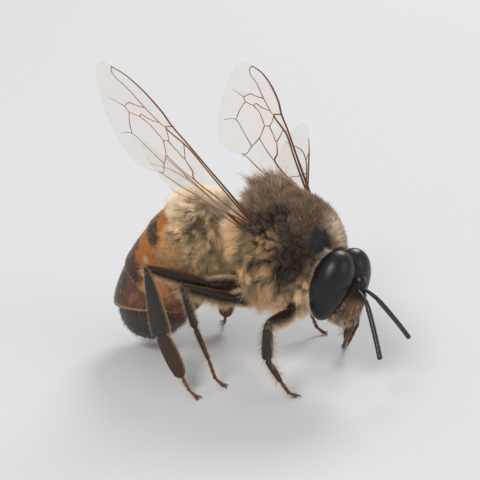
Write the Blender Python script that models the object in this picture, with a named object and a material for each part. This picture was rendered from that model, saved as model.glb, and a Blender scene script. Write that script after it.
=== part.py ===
"""Honey bee, a drone, as a life-size standing model.

Sizes and places below are in millimetres, measured from the middle of the
thorax: +X is forward, +Y is the bee's left and +Z is up.  Every solid
reaches out to the tips of the coat that covers it.
"""
import math

import bmesh
import bpy
from mathutils import Matrix, Vector

MM = 0.001                                 # one millimetre in metres

# Stance: where the thorax sits over the floor, in the model's own frame
THORAX_CENTRE = Vector((1.485, -1.10, 6.75))
FLOOR = -THORAX_CENTRE.z                   # floor level seen from the thorax
CUT = 0.1                                  # thin cut between neighbouring parts

# Thorax, coat included
THORAX_PITCH = 15.0                        # nose-down lean, degrees
THORAX_LENGTH = 5.8
THORAX_WIDTH = 5.7
THORAX_RISE = 2.98                         # axis to back
THORAX_DEPTH = 3.3                         # axis to breast
TUFT_LENGTH = 1.0                          # tuft that leans back over the scutellum
TUFT_PLACE = -1.9                          # along the thorax axis
TUFT_SPREAD = 1.0
TUFT_BACK, TUFT_UP = 0.65, 0.75            # how far it leans back and stands up
BREAST_SWELL = 1.2                         # long pale coat between the front legs
BREAST_PLACE = 1.3
BREAST_SPREAD = 1.2

# Abdomen: a stout blunt egg on a curved axis that hooks down and to the right
ABDOMEN_FRONT = Vector((-3.70, -0.34, 1.37))
ABDOMEN_YAW = 20.0                         # towards the bee's right, degrees
ABDOMEN_LENGTH = 8.95                      # along the curved axis
ABDOMEN_START = 40.0                       # downward slope in front, degrees
ABDOMEN_CURL = 35.0                        # turn from front to tip, degrees
ABDOMEN_WIDTH = 5.8
ABDOMEN_THICKNESS = 4.8
ABDOMEN_SQUARE = 3.2                       # higher is blunter at both ends
ABDOMEN_ROUND = 2.2
RING_ENDS = (0.02, 0.18, 0.37, 0.595, 0.77, 0.90, 1.0)
RIM_STEP = 0.014                           # each plate flares by this share
WAIST_FRONT = Vector((-2.3, 0.0, -0.75))   # the thin waist under the first ring
WAIST_REAR = Vector((-3.9, -0.35, 0.1))
WAIST_THICKNESS = 1.0

# Head
HEAD_CENTRE = Vector((3.2, 0.0, -1.28))
HEAD_PITCH = 10.0                          # nose-down, degrees
HEAD_ROLL = 11.0                           # left side lower, degrees
EYE_HALF = Vector((1.12, 1.15, 1.8))
EYE_SIDE = 0.87                            # eye middle, out from the midline
EYE_TILT = 14.0                            # tops lean together, degrees
EYE_SEAM = 0.05                            # half the cut where the eyes meet
# Height, middle, half depth, half width of the front, half width of the back
HEAD_SECTIONS = (
    (-1.95, 0.40, 0.50, 0.55, 0.55),
    (-1.50, 0.22, 0.98, 0.85, 1.00),
    (-0.90, 0.06, 1.24, 0.80, 1.35),
    (-0.20, -0.02, 1.34, 0.60, 1.55),
    (0.40, -0.12, 1.20, 0.42, 1.50),
    (1.00, -0.25, 1.00, 0.26, 1.20),
    (1.45, -0.35, 0.65, 0.16, 0.70),
)
HEAD_POLES = (-2.1, 1.6)

# Feelers: base, elbow and tip
FEELER_THICKNESS = 0.5
FEELERS = {
    "right": ((4.35, -0.25, -1.32), (5.12, -0.55, -1.60), (6.62, -1.59, -3.97)),
    "left": ((4.35, 0.25, -1.36), (5.05, 0.38, -1.53), (5.80, 2.25, -4.15)),
}
JAW_TOP = Vector((4.05, 0.30, -2.75))
JAW_TIP = Vector((3.52, 0.28, -4.50))
JAW_THICKNESS = 0.5

# Wings: root, span direction and chord direction
WING_THICKNESS = 0.5
FOREWING_LENGTH = 10.85
HINDWING_LENGTH = 7.5
WINGS = {
    "forewing_right": ((-0.36, -2.40, 1.68), (-0.690, -0.222, 0.683), (-0.720, 0.10, -0.690)),
    "forewing_left": ((-0.25, 2.40, 1.60), (-0.727, 0.416, 0.545), (-0.657, -0.534, -0.535)),
    "hindwing_right": ((-0.95, -2.25, 1.15), (-0.845, -0.08, 0.53), (-0.50, 0.45, -0.74)),
    "hindwing_left": ((-0.85, 2.48, 0.98), (-0.500, 0.737, 0.470), (-0.786, -0.239, -0.572)),
}
# Outline points as shares of the wing's length: along the span, across it
FOREWING_OUTLINE = (
    (0.0, -0.012), (0.28, -0.028), (0.62, -0.064), (0.87, -0.053), (0.975, -0.018),
    (1.003, 0.035), (0.965, 0.105), (0.85, 0.195), (0.73, 0.262), (0.61, 0.292),
    (0.525, 0.262), (0.455, 0.205), (0.25, 0.135), (0.06, 0.045),
)
HINDWING_OUTLINE = (
    (0.0, -0.03), (0.30, -0.035), (0.62, -0.045), (0.86, -0.020), (0.985, 0.045),
    (0.975, 0.13), (0.86, 0.225), (0.66, 0.285), (0.44, 0.285), (0.24, 0.225),
    (0.06, 0.075),
)
OUTLINE_STEPS = 3                          # curve points between two outline points
TEGULA_HALF = Vector((0.5, 0.3, 0.32))
TEGULA_SHIFT = Vector((0.15, 0.18, -0.15)) # from the wing's root

# Legs, as places of the joints: hip, trochanter, knee, ankle, heel and foot
LEGS = {
    "front_right": ((1.11, -0.9, -2.35), (1.32, -1.6, -2.75), (1.25, -3.4, -2.75),
                    (1.36, -3.6, -4.58), (2.13, -3.5, -5.55), (2.22, -2.75, FLOOR)),
    "front_left": ((1.11, 0.9, -2.35), (1.32, 1.6, -2.75), (1.45, 3.3, -2.75),
                   (1.60, 3.40, -4.60), (1.20, 3.55, -5.75), (0.95, 3.95, FLOOR)),
    "middle_right": ((-1.0, -1.3, -2.6), (-1.75, -2.1, -2.6), (-3.67, -3.95, -1.83),
                     (-2.68, -4.15, -3.75), (-1.93, -4.05, -5.30), (-1.55, -3.85, FLOOR)),
    "middle_left": ((-1.0, 1.3, -2.6), (-1.75, 2.1, -2.6), (-3.0, 4.1, -1.85),
                    (-2.35, 4.6, -3.95), (-1.85, 4.75, -5.50), (-1.45, 4.95, FLOOR)),
    "hind_right": ((-2.1, -1.2, -2.2), (-3.0, -2.6, -2.0), (-5.10, -5.00, -0.85),
                   (-3.79, -5.42, -4.00), (-2.38, -5.55, -5.85), (-1.80, -5.55, FLOOR)),
    "hind_left": ((-2.2, 1.1, -2.2), (-3.3, 2.3, -2.1), (-5.70, 4.1, -1.1),
                  (-5.98, 2.55, -4.05), (-5.90, 2.25, -5.95), (-6.35, 2.70, FLOOR)),
}
TOE = 0.45                                 # length of the foot along the floor
SOLE_SINK = 0.06                           # how much of the round foot is flattened off
# Widest breadth and thickness of femur, tibia and first tarsal segment
LEG_SIZES = {
    "front": ((0.64, 0.58), (0.60, 0.52), (0.52, 0.50)),
    "middle": ((0.66, 0.60), (0.66, 0.54), (0.54, 0.50)),
    "hind": ((0.74, 0.62), (1.24, 0.54), (0.95, 0.52)),
}
COXA_THICKNESS = 0.95
TARSUS_THICKNESS = 0.5
# The broad face of a leg's flat segments looks this way
LEG_FACING = {"right": Vector((0.15, -1.0, 0.1)), "left": Vector((-0.4, 1.0, 0.1))}
SIDEWAYS = Vector((0.0, 1.0, 0.0))

# Facets of the lofts: rows run along a shape, sides run round it
SIDES = 10                                 # round a leg or feeler
BODY_SIDES = 24
THORAX_ROWS = 14
HEAD_SIDES = 16
EYE_ROWS, EYE_SIDES = 12, 22
TEGULA_ROWS, TEGULA_SIDES = 6, 12
PLATE_STEPS = 5

# Colour and roughness of each kind of part
FACE_LOOK = ((0.10, 0.08, 0.07), 0.7)
EYE_LOOK = ((0.02, 0.02, 0.02), 0.35)
FEELER_LOOK = ((0.03, 0.03, 0.03), 0.6)
JAW_LOOK = ((0.14, 0.06, 0.03), 0.4)
COAT_LOOK = ((0.22, 0.16, 0.12), 0.9)
PLATE_LOOK = ((0.25, 0.12, 0.05), 0.45)
WAIST_LOOK = ((0.10, 0.06, 0.04), 0.5)
LEG_LOOK = ((0.05, 0.035, 0.03), 0.35)
FOOT_LOOK = ((0.22, 0.09, 0.03), 0.4)
WING_LOOK = ((0.75, 0.72, 0.66), 0.25)
SHELL_LOOK = ((0.06, 0.03, 0.02), 0.3)


def to_world(point):
    """Turn thorax-centred millimetres into metres in the model's frame."""
    return (Vector(point) + THORAX_CENTRE) * MM


def finish_material(name, colour, roughness):
    """Principled material for one part."""
    material = bpy.data.materials.new(name)
    material.use_nodes = True
    shader = material.node_tree.nodes["Principled BSDF"]
    shader.inputs["Base Color"].default_value = (*colour, 1.0)
    shader.inputs["Roughness"].default_value = roughness
    material.diffuse_color = (*colour, 1.0)
    return material


def add_object(name, mesh, look):
    """Put a mesh in the scene as a named part with its own material."""
    colour, roughness = look
    mesh.materials.append(finish_material(name, colour, roughness))
    mesh.shade_smooth()
    mesh.set_sharp_from_angle(angle=math.radians(35))
    part = bpy.data.objects.new(name, mesh)
    bpy.context.collection.objects.link(part)
    return part


def mesh_from_bmesh(name, shape):
    """Close a bmesh, with its faces outward, into a mesh."""
    bmesh.ops.recalc_face_normals(shape, faces=shape.faces)
    mesh = bpy.data.meshes.new(name)
    shape.to_mesh(mesh)
    shape.free()
    return mesh


def loft(rings, start_pole=None, end_pole=None):
    """Skin a row of rings; an end is a pole where one is given, else flat."""
    shape = bmesh.new()
    loops = [[shape.verts.new(to_world(point)) for point in ring] for ring in rings]
    count = len(rings[0])
    for near, far in zip(loops, loops[1:]):
        for i in range(count):
            j = (i + 1) % count
            shape.faces.new((near[i], near[j], far[j], far[i]))
    for loop, pole in ((loops[0], start_pole), (loops[-1], end_pole)):
        if pole is None:
            shape.faces.new(loop)
            continue
        top = shape.verts.new(to_world(pole))
        for i in range(count):
            shape.faces.new((loop[i], loop[(i + 1) % count], top))
    return shape


def turns(sides):
    """Angles of the points round one ring."""
    return [2 * math.pi * (i + 0.5) / sides for i in range(sides)]


def keep_below_cut(shape, point, direction):
    """Cut a closed shape with a plane and keep what lies behind it."""
    geometry = list(shape.verts) + list(shape.edges) + list(shape.faces)
    bmesh.ops.bisect_plane(
        shape, geom=geometry, dist=1e-8, plane_co=to_world(point), plane_no=direction, clear_outer=True)
    rim = [edge for edge in shape.edges if edge.is_boundary]
    bmesh.ops.edgeloop_fill(shape, edges=rim)
    return shape


def grown_copy(part, gap):
    """A hidden cutter: the part's own mesh pushed outward by a gap."""
    shape = bmesh.new()
    shape.from_mesh(part.data)
    shape.normal_update()
    moves = [(vert, vert.normal.copy()) for vert in shape.verts]
    for vert, normal in moves:
        vert.co += normal * gap * MM / max(0.5, vert.calc_shell_factor())
    cutter = bpy.data.objects.new("cutter_" + part.name, mesh_from_bmesh("cutter_" + part.name, shape))
    bpy.context.collection.objects.link(cutter)
    cutter.hide_render = True
    cutter.display_type = "WIRE"
    return cutter


CUTTERS = {}


def far_apart(part, other):
    """Whether two parts' boxes stay clear of each other by the thin cut."""
    for axis in range(3):
        mine = [vert.co[axis] for vert in part.data.vertices]
        theirs = [vert.co[axis] for vert in other.data.vertices]
        if min(mine) > max(theirs) + CUT * MM or max(mine) < min(theirs) - CUT * MM:
            return True
    return False


def clear_of(part, *neighbours):
    """Cut a part back from each neighbour, leaving the thin cut between."""
    for neighbour in neighbours:
        if far_apart(part, neighbour):
            continue
        if neighbour.name not in CUTTERS:
            CUTTERS[neighbour.name] = grown_copy(neighbour, CUT)
        cut = part.modifiers.new("clear_" + neighbour.name, "BOOLEAN")
        cut.operation = "DIFFERENCE"
        cut.solver = "EXACT"
        cut.object = CUTTERS[neighbour.name]


# ---- head -------------------------------------------------------------------

def head_frame():
    """Forward, left and up directions of the tilted head."""
    pitch = Matrix.Rotation(math.radians(HEAD_PITCH), 3, "Y")
    roll = Matrix.Rotation(math.radians(-HEAD_ROLL), 3, "X")
    return pitch @ roll


def make_head():
    """Head capsule: a wedge, narrow in front, that the eyes wrap round."""
    turn = head_frame()
    rings = []
    for height, middle, depth, front, back in HEAD_SECTIONS:
        ring = []
        for angle in turns(HEAD_SIDES):
            forward = math.cos(angle)
            half = back + (front - back) * (1 + forward) / 2
            point = Vector((middle + depth * forward, half * math.sin(angle), height))
            ring.append(HEAD_CENTRE + turn @ point)
        rings.append(ring)
    poles = [HEAD_CENTRE + turn @ Vector((HEAD_SECTIONS[end][1], 0.0, HEAD_POLES[end]))
             for end in (0, -1)]
    shape = loft(rings, poles[0], poles[1])
    return add_object("head", mesh_from_bmesh("head", shape), FACE_LOOK)


def make_eye(side, sign, head):
    """Compound eye: a tall tilted egg, flat where it meets its twin."""
    turn = head_frame()
    lean = Matrix.Rotation(math.radians(EYE_TILT * sign), 3, "X")
    middle = Vector((0.0, EYE_SIDE * sign, 0.0))
    rings = []
    for row in range(1, EYE_ROWS):
        polar = math.pi * row / EYE_ROWS
        rings.append([
            middle + lean @ Vector((EYE_HALF.x * math.sin(polar) * math.cos(angle),
                                    EYE_HALF.y * math.sin(polar) * math.sin(angle),
                                    -EYE_HALF.z * math.cos(polar)))
            for angle in turns(EYE_SIDES)])
    poles = [middle + lean @ Vector((0.0, 0.0, end * EYE_HALF.z)) for end in (-1, 1)]
    placed = [[HEAD_CENTRE + turn @ point for point in ring] for ring in rings]
    shape = loft(placed, HEAD_CENTRE + turn @ poles[0], HEAD_CENTRE + turn @ poles[1])
    seam = HEAD_CENTRE + turn @ Vector((0.0, EYE_SEAM * sign, 0.0))
    keep_below_cut(shape, seam, turn @ Vector((0.0, -sign, 0.0)))
    eye = add_object("eye_" + side, mesh_from_bmesh("eye_" + side, shape), EYE_LOOK)
    clear_of(eye, head)
    return eye


# ---- limbs, feelers and jaws ------------------------------------------------

def limb_shape(start, end, profile, outward, sides=SIDES):
    """Straight limb; profile rows hold the share along, breadth and thickness."""
    along = (end - start).normalized()
    thin = (outward - along * outward.dot(along)).normalized()
    broad = along.cross(thin)
    rings = []
    for share, breadth, thickness in profile:
        centre = start.lerp(end, share)
        rings.append([centre + broad * (breadth / 2 * math.cos(angle))
                      + thin * (thickness / 2 * math.sin(angle))
                      for angle in turns(sides)])
    return loft(rings)


def bent_shape(points, radii, across, sides=SIDES):
    """Round limb through several points of a plane square to `across`."""
    rings = []
    for i, (point, radius) in enumerate(zip(points, radii)):
        before = points[max(i - 1, 0)]
        after = points[min(i + 1, len(points) - 1)]
        third = (after - before).normalized().cross(across)
        rings.append([point + across * (radius * math.cos(angle))
                      + third * (radius * math.sin(angle))
                      for angle in turns(sides)])
    return loft(rings)


def make_feeler(side, head):
    """Feeler in two nodes: the short scape and the long flagellum."""
    base, elbow, tip = [Vector(point) for point in FEELERS[side]]
    thick = FEELER_THICKNESS
    scape_profile = ((0.0, thick, thick), (0.9, thick, thick), (1.05, thick * 0.8, thick * 0.8))
    scape_shape = limb_shape(base, elbow, scape_profile, SIDEWAYS)
    scape = add_object("scape_" + side, mesh_from_bmesh("scape_" + side, scape_shape), FEELER_LOOK)
    clear_of(scape, head)
    profile = ((-0.02, thick * 0.9, thick * 0.9), (0.06, thick, thick),
               (0.95, thick, thick), (1.0, thick * 0.6, thick * 0.6))
    shape = limb_shape(elbow, tip, profile, SIDEWAYS)
    flagellum = add_object("flagellum_" + side, mesh_from_bmesh("flagellum_" + side, shape), FEELER_LOOK)
    clear_of(flagellum, scape, head)
    return scape, flagellum


def make_jaw(side, sign, head):
    """Mandible with the long mouth part under it."""
    top = Vector((JAW_TOP.x, JAW_TOP.y * sign, JAW_TOP.z))
    tip = Vector((JAW_TIP.x, JAW_TIP.y * sign, JAW_TIP.z))
    thick = JAW_THICKNESS
    profile = ((0.0, thick, thick), (0.7, thick, thick), (1.0, thick * 0.7, thick * 0.7))
    shape = limb_shape(top, tip, profile, SIDEWAYS)
    jaw = add_object("mandible_" + side, mesh_from_bmesh("mandible_" + side, shape), JAW_LOOK)
    clear_of(jaw, head)
    return jaw


# ---- thorax and abdomen -----------------------------------------------------

def make_thorax(head_parts):
    """Thorax: a deep egg with a shoulder in front and a tuft at the back."""
    turn = Matrix.Rotation(math.radians(THORAX_PITCH), 3, "Y")
    rings = []
    for row in range(1, THORAX_ROWS):
        polar = math.pi * row / THORAX_ROWS
        along = -THORAX_LENGTH / 2 * math.cos(polar)
        swell = math.sin(polar) ** 0.9
        tuft = TUFT_LENGTH * math.exp(-((along - TUFT_PLACE) / TUFT_SPREAD) ** 2)
        breast = BREAST_SWELL * math.exp(-((along - BREAST_PLACE) / BREAST_SPREAD) ** 2)
        ring = []
        for angle in turns(BODY_SIDES):
            up = math.sin(angle)
            lean = 0.0
            if up > 0:
                lean = tuft * up ** 4
                height = THORAX_RISE * swell + lean * TUFT_UP
            else:
                height = THORAX_DEPTH * swell + breast * up ** 4
            across = THORAX_WIDTH / 2 * swell * math.cos(angle)
            ring.append(turn @ Vector((along - lean * TUFT_BACK, across, height * up)))
        rings.append(ring)
    poles = [turn @ Vector((end * THORAX_LENGTH / 2, 0.0, 0.0)) for end in (-1, 1)]
    shape = loft(rings, poles[0], poles[1])
    thorax = add_object("thorax", mesh_from_bmesh("thorax", shape), COAT_LOOK)
    clear_of(thorax, *head_parts)
    return thorax


def abdomen_station(share):
    """Centre, dorsal direction, side direction and swell of the abdomen."""
    yaw = math.radians(ABDOMEN_YAW)
    back = Vector((-math.cos(yaw), -math.sin(yaw), 0.0))
    side = Vector((math.sin(yaw), -math.cos(yaw), 0.0))
    up = Vector((0.0, 0.0, 1.0))
    start = math.radians(ABDOMEN_START)
    slope = start + math.radians(ABDOMEN_CURL) * share
    radius = ABDOMEN_LENGTH / math.radians(ABDOMEN_CURL)
    centre = (ABDOMEN_FRONT + back * radius * (math.sin(slope) - math.sin(start))
              + up * radius * (math.cos(slope) - math.cos(start)))
    dorsal = back * math.sin(slope) + up * math.cos(slope)
    swell = max(0.0, 1 - abs(2 * share - 1) ** ABDOMEN_SQUARE) ** (1 / ABDOMEN_ROUND)
    return centre, dorsal, side, swell


def make_abdomen(thorax):
    """Abdomen in rings, each plate a little wider at its rear rim."""
    rings = []
    half_cut = CUT / 2 / ABDOMEN_LENGTH
    for number, (first, last) in enumerate(zip(RING_ENDS, RING_ENDS[1:]), start=1):
        closing = last == 1.0
        begin = first + half_cut
        end = 0.99 if closing else last - half_cut
        rows = []
        for step in range(PLATE_STEPS):
            part_way = step / (PLATE_STEPS - 1)
            centre, dorsal, side, swell = abdomen_station(begin + (end - begin) * part_way)
            flare = 1 + RIM_STEP * (2 * part_way - 1)
            rows.append([centre + side * (ABDOMEN_WIDTH / 2 * swell * flare * math.cos(angle))
                         + dorsal * (ABDOMEN_THICKNESS / 2 * swell * flare * math.sin(angle))
                         for angle in turns(BODY_SIDES)])
        pole = abdomen_station(1.0)[0] if closing else None
        name = "abdomen_%d" % number
        rings.append(add_object(name, mesh_from_bmesh(name, loft(rows, None, pole)), PLATE_LOOK))
    clear_of(rings[0], thorax)
    clear_of(rings[1], thorax)
    profile = [(share, WAIST_THICKNESS, WAIST_THICKNESS) for share in (0.0, 0.5, 1.0)]
    shape = limb_shape(WAIST_FRONT, WAIST_REAR, profile, SIDEWAYS)
    waist = add_object("waist", mesh_from_bmesh("waist", shape), WAIST_LOOK)
    clear_of(waist, thorax, rings[0])
    return rings


# ---- legs -------------------------------------------------------------------

def make_leg(name, trunk):
    """Leg in five nodes, from the coxa at the breast down to the foot."""
    hip, trochanter, knee, ankle, heel, foot = [Vector(point) for point in LEGS[name]]
    pair, side = name.split("_")
    femur_size, tibia_size, heel_size = LEG_SIZES[pair]
    outward = LEG_FACING[side]

    def add(label, shape, look, *neighbours):
        node = add_object("leg_%s_%s" % (name, label), mesh_from_bmesh(name + label, shape), look)
        clear_of(node, *neighbours)
        return node

    thick = COXA_THICKNESS
    coxa_profile = ((0.0, thick, thick), (0.75, thick * 0.9, thick * 0.9),
                    (1.0, 0.62, 0.62), (1.12, 0.4, 0.4))
    coxa = add("coxa", limb_shape(hip, trochanter, coxa_profile, outward), LEG_LOOK, *trunk)
    breadth, thickness = femur_size
    femur_profile = ((0.04, 0.4, 0.4), (0.2, breadth * 0.95, thickness * 0.95), (0.5, breadth, thickness),
                     (0.85, breadth * 0.82, thickness * 0.9), (1.0, 0.5, 0.5), (1.04, 0.34, 0.34))
    femur = add("femur", limb_shape(trochanter, knee, femur_profile, outward), LEG_LOOK, coxa, *trunk)
    breadth, thickness = tibia_size
    tibia_profile = ((0.04, 0.34, 0.34), (0.12, 0.5, 0.5), (0.45, 0.5 + (breadth - 0.5) * 0.55, thickness),
                     (0.8, breadth, thickness), (0.95, breadth * 0.97, thickness), (1.0, breadth * 0.7, 0.5))
    tibia = add("tibia", limb_shape(knee, ankle, tibia_profile, outward), LEG_LOOK, femur)
    breadth, thickness = heel_size
    heel_profile = ((0.04, 0.36, 0.36), (0.14, breadth * 0.9, thickness), (0.5, breadth, thickness),
                    (0.85, breadth * 0.8, thickness), (1.0, 0.5, 0.5))
    basitarsus = add("basitarsus", limb_shape(ankle, heel, heel_profile, outward), LEG_LOOK, tibia)
    make_tarsus(add, heel, foot, basitarsus)


def make_tarsus(add, heel, foot, basitarsus):
    """Small last segments and the foot, flat where it meets the floor."""
    radius = TARSUS_THICKNESS / 2
    level = Vector((foot.x - heel.x, foot.y - heel.y, 0.0)).normalized()
    ball = Vector((foot.x, foot.y, FLOOR + radius - SOLE_SINK))
    toe = ball + level * TOE
    points = [heel, heel.lerp(ball, 0.35), heel.lerp(ball, 0.7),
              ball - level * 0.02, ball + level * TOE * 0.55, toe]
    radii = [radius, radius * 1.05, radius, radius, radius * 1.05, radius * 0.8]
    shape = bent_shape(points, radii, level.cross(Vector((0.0, 0.0, 1.0))))
    keep_below_cut(shape, Vector((0.0, 0.0, FLOOR)), Vector((0.0, 0.0, -1.0)))
    add("tarsus", shape, FOOT_LOOK, basitarsus)


# ---- wings ------------------------------------------------------------------

def smooth_outline(points, steps):
    """Closed Catmull-Rom curve through the outline points."""
    count = len(points)
    curve = []
    for i in range(count):
        p0, p1, p2, p3 = [Vector(points[(i + k - 1) % count]) for k in range(4)]
        if i == count - 1:
            curve.append(p1)
            continue
        for step in range(steps):
            t = step / steps
            curve.append(0.5 * (2 * p1 + (p2 - p0) * t + (2 * p0 - 5 * p1 + 4 * p2 - p3) * t * t
                                + (3 * p1 - p0 - 3 * p2 + p3) * t ** 3))
    return curve


def make_wing(name, outline, length, neighbours):
    """Wing plate cut to its outline, set at its root and angle."""
    root, span, chord = [Vector(entry) for entry in WINGS[name]]
    span = span.normalized()
    chord = (chord - span * chord.dot(span)).normalized()
    normal = span.cross(chord)
    curve = smooth_outline(outline, OUTLINE_STEPS)
    faces = []
    for level in (-0.5, 0.5):
        lift = root + normal * (level * WING_THICKNESS)
        faces.append([lift + (span * point.x + chord * point.y) * length for point in curve])
    wing = add_object(name, mesh_from_bmesh(name, loft(faces)), WING_LOOK)
    clear_of(wing, *neighbours)
    return wing


def make_tegula(side, sign, thorax):
    """Shell plate that caps the wing's root."""
    root = Vector(WINGS["forewing_" + side][0])
    centre = root + Vector((TEGULA_SHIFT.x, TEGULA_SHIFT.y * sign, TEGULA_SHIFT.z))
    rings = []
    for row in range(1, TEGULA_ROWS):
        polar = math.pi * row / TEGULA_ROWS
        rings.append([centre + Vector((-TEGULA_HALF.x * math.cos(polar),
                                       TEGULA_HALF.y * math.sin(polar) * math.cos(angle),
                                       TEGULA_HALF.z * math.sin(polar) * math.sin(angle)))
                      for angle in turns(TEGULA_SIDES)])
    ends = [centre + Vector((end * TEGULA_HALF.x, 0.0, 0.0)) for end in (-1, 1)]
    shape = loft(rings, ends[0], ends[1])
    plate = add_object("tegula_" + side, mesh_from_bmesh("tegula_" + side, shape), SHELL_LOOK)
    clear_of(plate, thorax)
    return plate


def main():
    """Build every part of the bee."""
    for old in list(bpy.data.objects):
        bpy.data.objects.remove(old)
    head = make_head()
    eyes = [make_eye("right", -1, head), make_eye("left", 1, head)]
    for side, sign in (("right", -1), ("left", 1)):
        make_feeler(side, head)
        make_jaw(side, sign, head)
    thorax = make_thorax([head] + eyes)
    abdomen = make_abdomen(thorax)
    for name in LEGS:
        make_leg(name, [thorax] + abdomen[:4])
    for side, sign in (("right", -1), ("left", 1)):
        plate = make_tegula(side, sign, thorax)
        front = make_wing("forewing_" + side, FOREWING_OUTLINE, FOREWING_LENGTH, [thorax, plate])
        around = [thorax, plate, front, abdomen[0], abdomen[1]]
        make_wing("hindwing_" + side, HINDWING_OUTLINE, HINDWING_LENGTH, around)


main()
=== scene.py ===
# %% [markdown]
# # Dressing a honey bee drone
# The packed model holds the bee's plain solids: they give its true outline, out to the tips
# of the hair.  This lesson puts the looks on them.  We start by loading that model as a frame
# that is never moved, and we keep its box, to compare our own work with it at the end.

# %% Load the frame
import math

import bmesh
import bpy
import numpy as np
from mathutils import Matrix, Vector


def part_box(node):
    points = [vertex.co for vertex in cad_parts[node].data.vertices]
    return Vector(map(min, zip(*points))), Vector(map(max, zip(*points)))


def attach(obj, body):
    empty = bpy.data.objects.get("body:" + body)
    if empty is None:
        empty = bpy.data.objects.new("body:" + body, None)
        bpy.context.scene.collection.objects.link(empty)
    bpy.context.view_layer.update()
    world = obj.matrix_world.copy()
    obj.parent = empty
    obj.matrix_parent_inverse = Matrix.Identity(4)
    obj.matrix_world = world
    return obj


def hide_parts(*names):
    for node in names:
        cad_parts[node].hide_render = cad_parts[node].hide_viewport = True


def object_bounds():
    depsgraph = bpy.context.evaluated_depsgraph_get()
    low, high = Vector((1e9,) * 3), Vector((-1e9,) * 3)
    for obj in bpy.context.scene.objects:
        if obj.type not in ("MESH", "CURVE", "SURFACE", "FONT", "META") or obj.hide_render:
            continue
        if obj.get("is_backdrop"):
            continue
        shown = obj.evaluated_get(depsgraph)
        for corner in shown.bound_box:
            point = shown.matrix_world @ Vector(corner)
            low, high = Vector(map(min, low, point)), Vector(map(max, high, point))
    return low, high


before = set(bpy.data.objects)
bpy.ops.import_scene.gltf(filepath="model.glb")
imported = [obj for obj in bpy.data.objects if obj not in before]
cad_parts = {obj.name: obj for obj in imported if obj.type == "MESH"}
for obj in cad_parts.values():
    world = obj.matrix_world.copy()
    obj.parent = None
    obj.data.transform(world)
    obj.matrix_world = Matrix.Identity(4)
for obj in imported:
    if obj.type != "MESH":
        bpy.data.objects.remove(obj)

cad_low, cad_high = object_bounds()
print("the solids hold", len(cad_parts), "nodes in", [round(v * 1000, 1) for v in cad_high - cad_low], "mm")

# %% [markdown]
# ## One handy space to think in
# A bee is so small that metres are awkward, and some of Blender's tools round tiny sizes.  So
# every piece is first made in millimetres, measured from the middle of the thorax: +X is
# forward, +Y is the bee's left and +Z is up.  `settle` shrinks a finished piece into the
# frame's metres, with its place kept in its mesh and its object left at the origin.

# %% Units and the bee's own space
MM = 0.001
HEART = Vector((1.485, -1.10, 6.75))      # middle of the thorax over the floor, millimetres
FLOOR = -HEART.z


def settle(piece, material=None):
    """Turn a mesh from bee millimetres into the frame's metres, and give it its material."""
    if material:
        piece.data.materials.append(material)
    piece.data.transform(Matrix.Translation(HEART * MM) @ Matrix.Scale(MM, 4))
    piece.data.update()


def ready(piece, material, slot, *nodes):
    """A finished piece rides on the body and stands for these solids."""
    settle(piece, material)
    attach(piece, "root")
    if nodes:
        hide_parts(*nodes)


def show(name, data):
    """A new object in the scene."""
    made = bpy.data.objects.new(name, data)
    bpy.context.collection.objects.link(made)
    return made


print("one bee millimetre is", MM, "m, and the floor lies", -FLOOR, "mm below the thorax")


# %% Small helpers
def unit(vectors):
    """Vectors scaled to length one, row by row."""
    vectors = np.asarray(vectors, float)
    return vectors / np.maximum(np.linalg.norm(vectors, axis=-1, keepdims=True), 1e-9)


def rotation(angle, axis):
    return np.array(Matrix.Rotation(angle, 3, axis))


def step_between(low, high, value):
    """0 below low, 1 above high, and smooth in between."""
    share = np.clip((np.asarray(value, float) - low) / (high - low), 0, 1)
    return share * share * (3 - 2 * share)


def bell(value, middle, width):
    """1 at the middle, and less on both sides."""
    return np.exp(-((value - middle) / width) ** 2)


def mottle(points, size, seed, waves=7):
    """A slow, uneven pattern between about -1 and 1, some millimetres across."""
    dice = np.random.default_rng(seed)
    total = 0.0
    for _ in range(waves):
        way = unit(dice.normal(size=3)) * 2 * np.pi / size * dice.uniform(0.6, 1.5)
        total = total + np.sin(np.asarray(points) @ way + dice.uniform(0, 6))
    return total / 3.2


def tone(red, green, blue):
    """A colour as the eye reads it, 0 to 255, in the linear numbers that shaders use."""
    shares = np.array([red, green, blue], float) / 255
    return np.where(shares < 0.04045, shares / 12.92, ((shares + 0.055) / 1.055) ** 2.4)


box_low, box_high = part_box("thorax")
print("thorax solid in bee millimetres:", [round(v, 2) for v in box_low / MM - HEART],
      [round(v, 2) for v in box_high / MM - HEART])

# %% [markdown]
# ## Clay
# Nearly every part of an insect is a tapering tube, a dome or a thin plate.  All of those can
# be skinned over a row of rings, which is called a loft.  `Clay` gathers lofts into one mesh
# and keeps named numbers for every point, such as how long the hair is there.  We choose
# arrays and lofts because the shape then follows a few named sizes.


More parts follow.
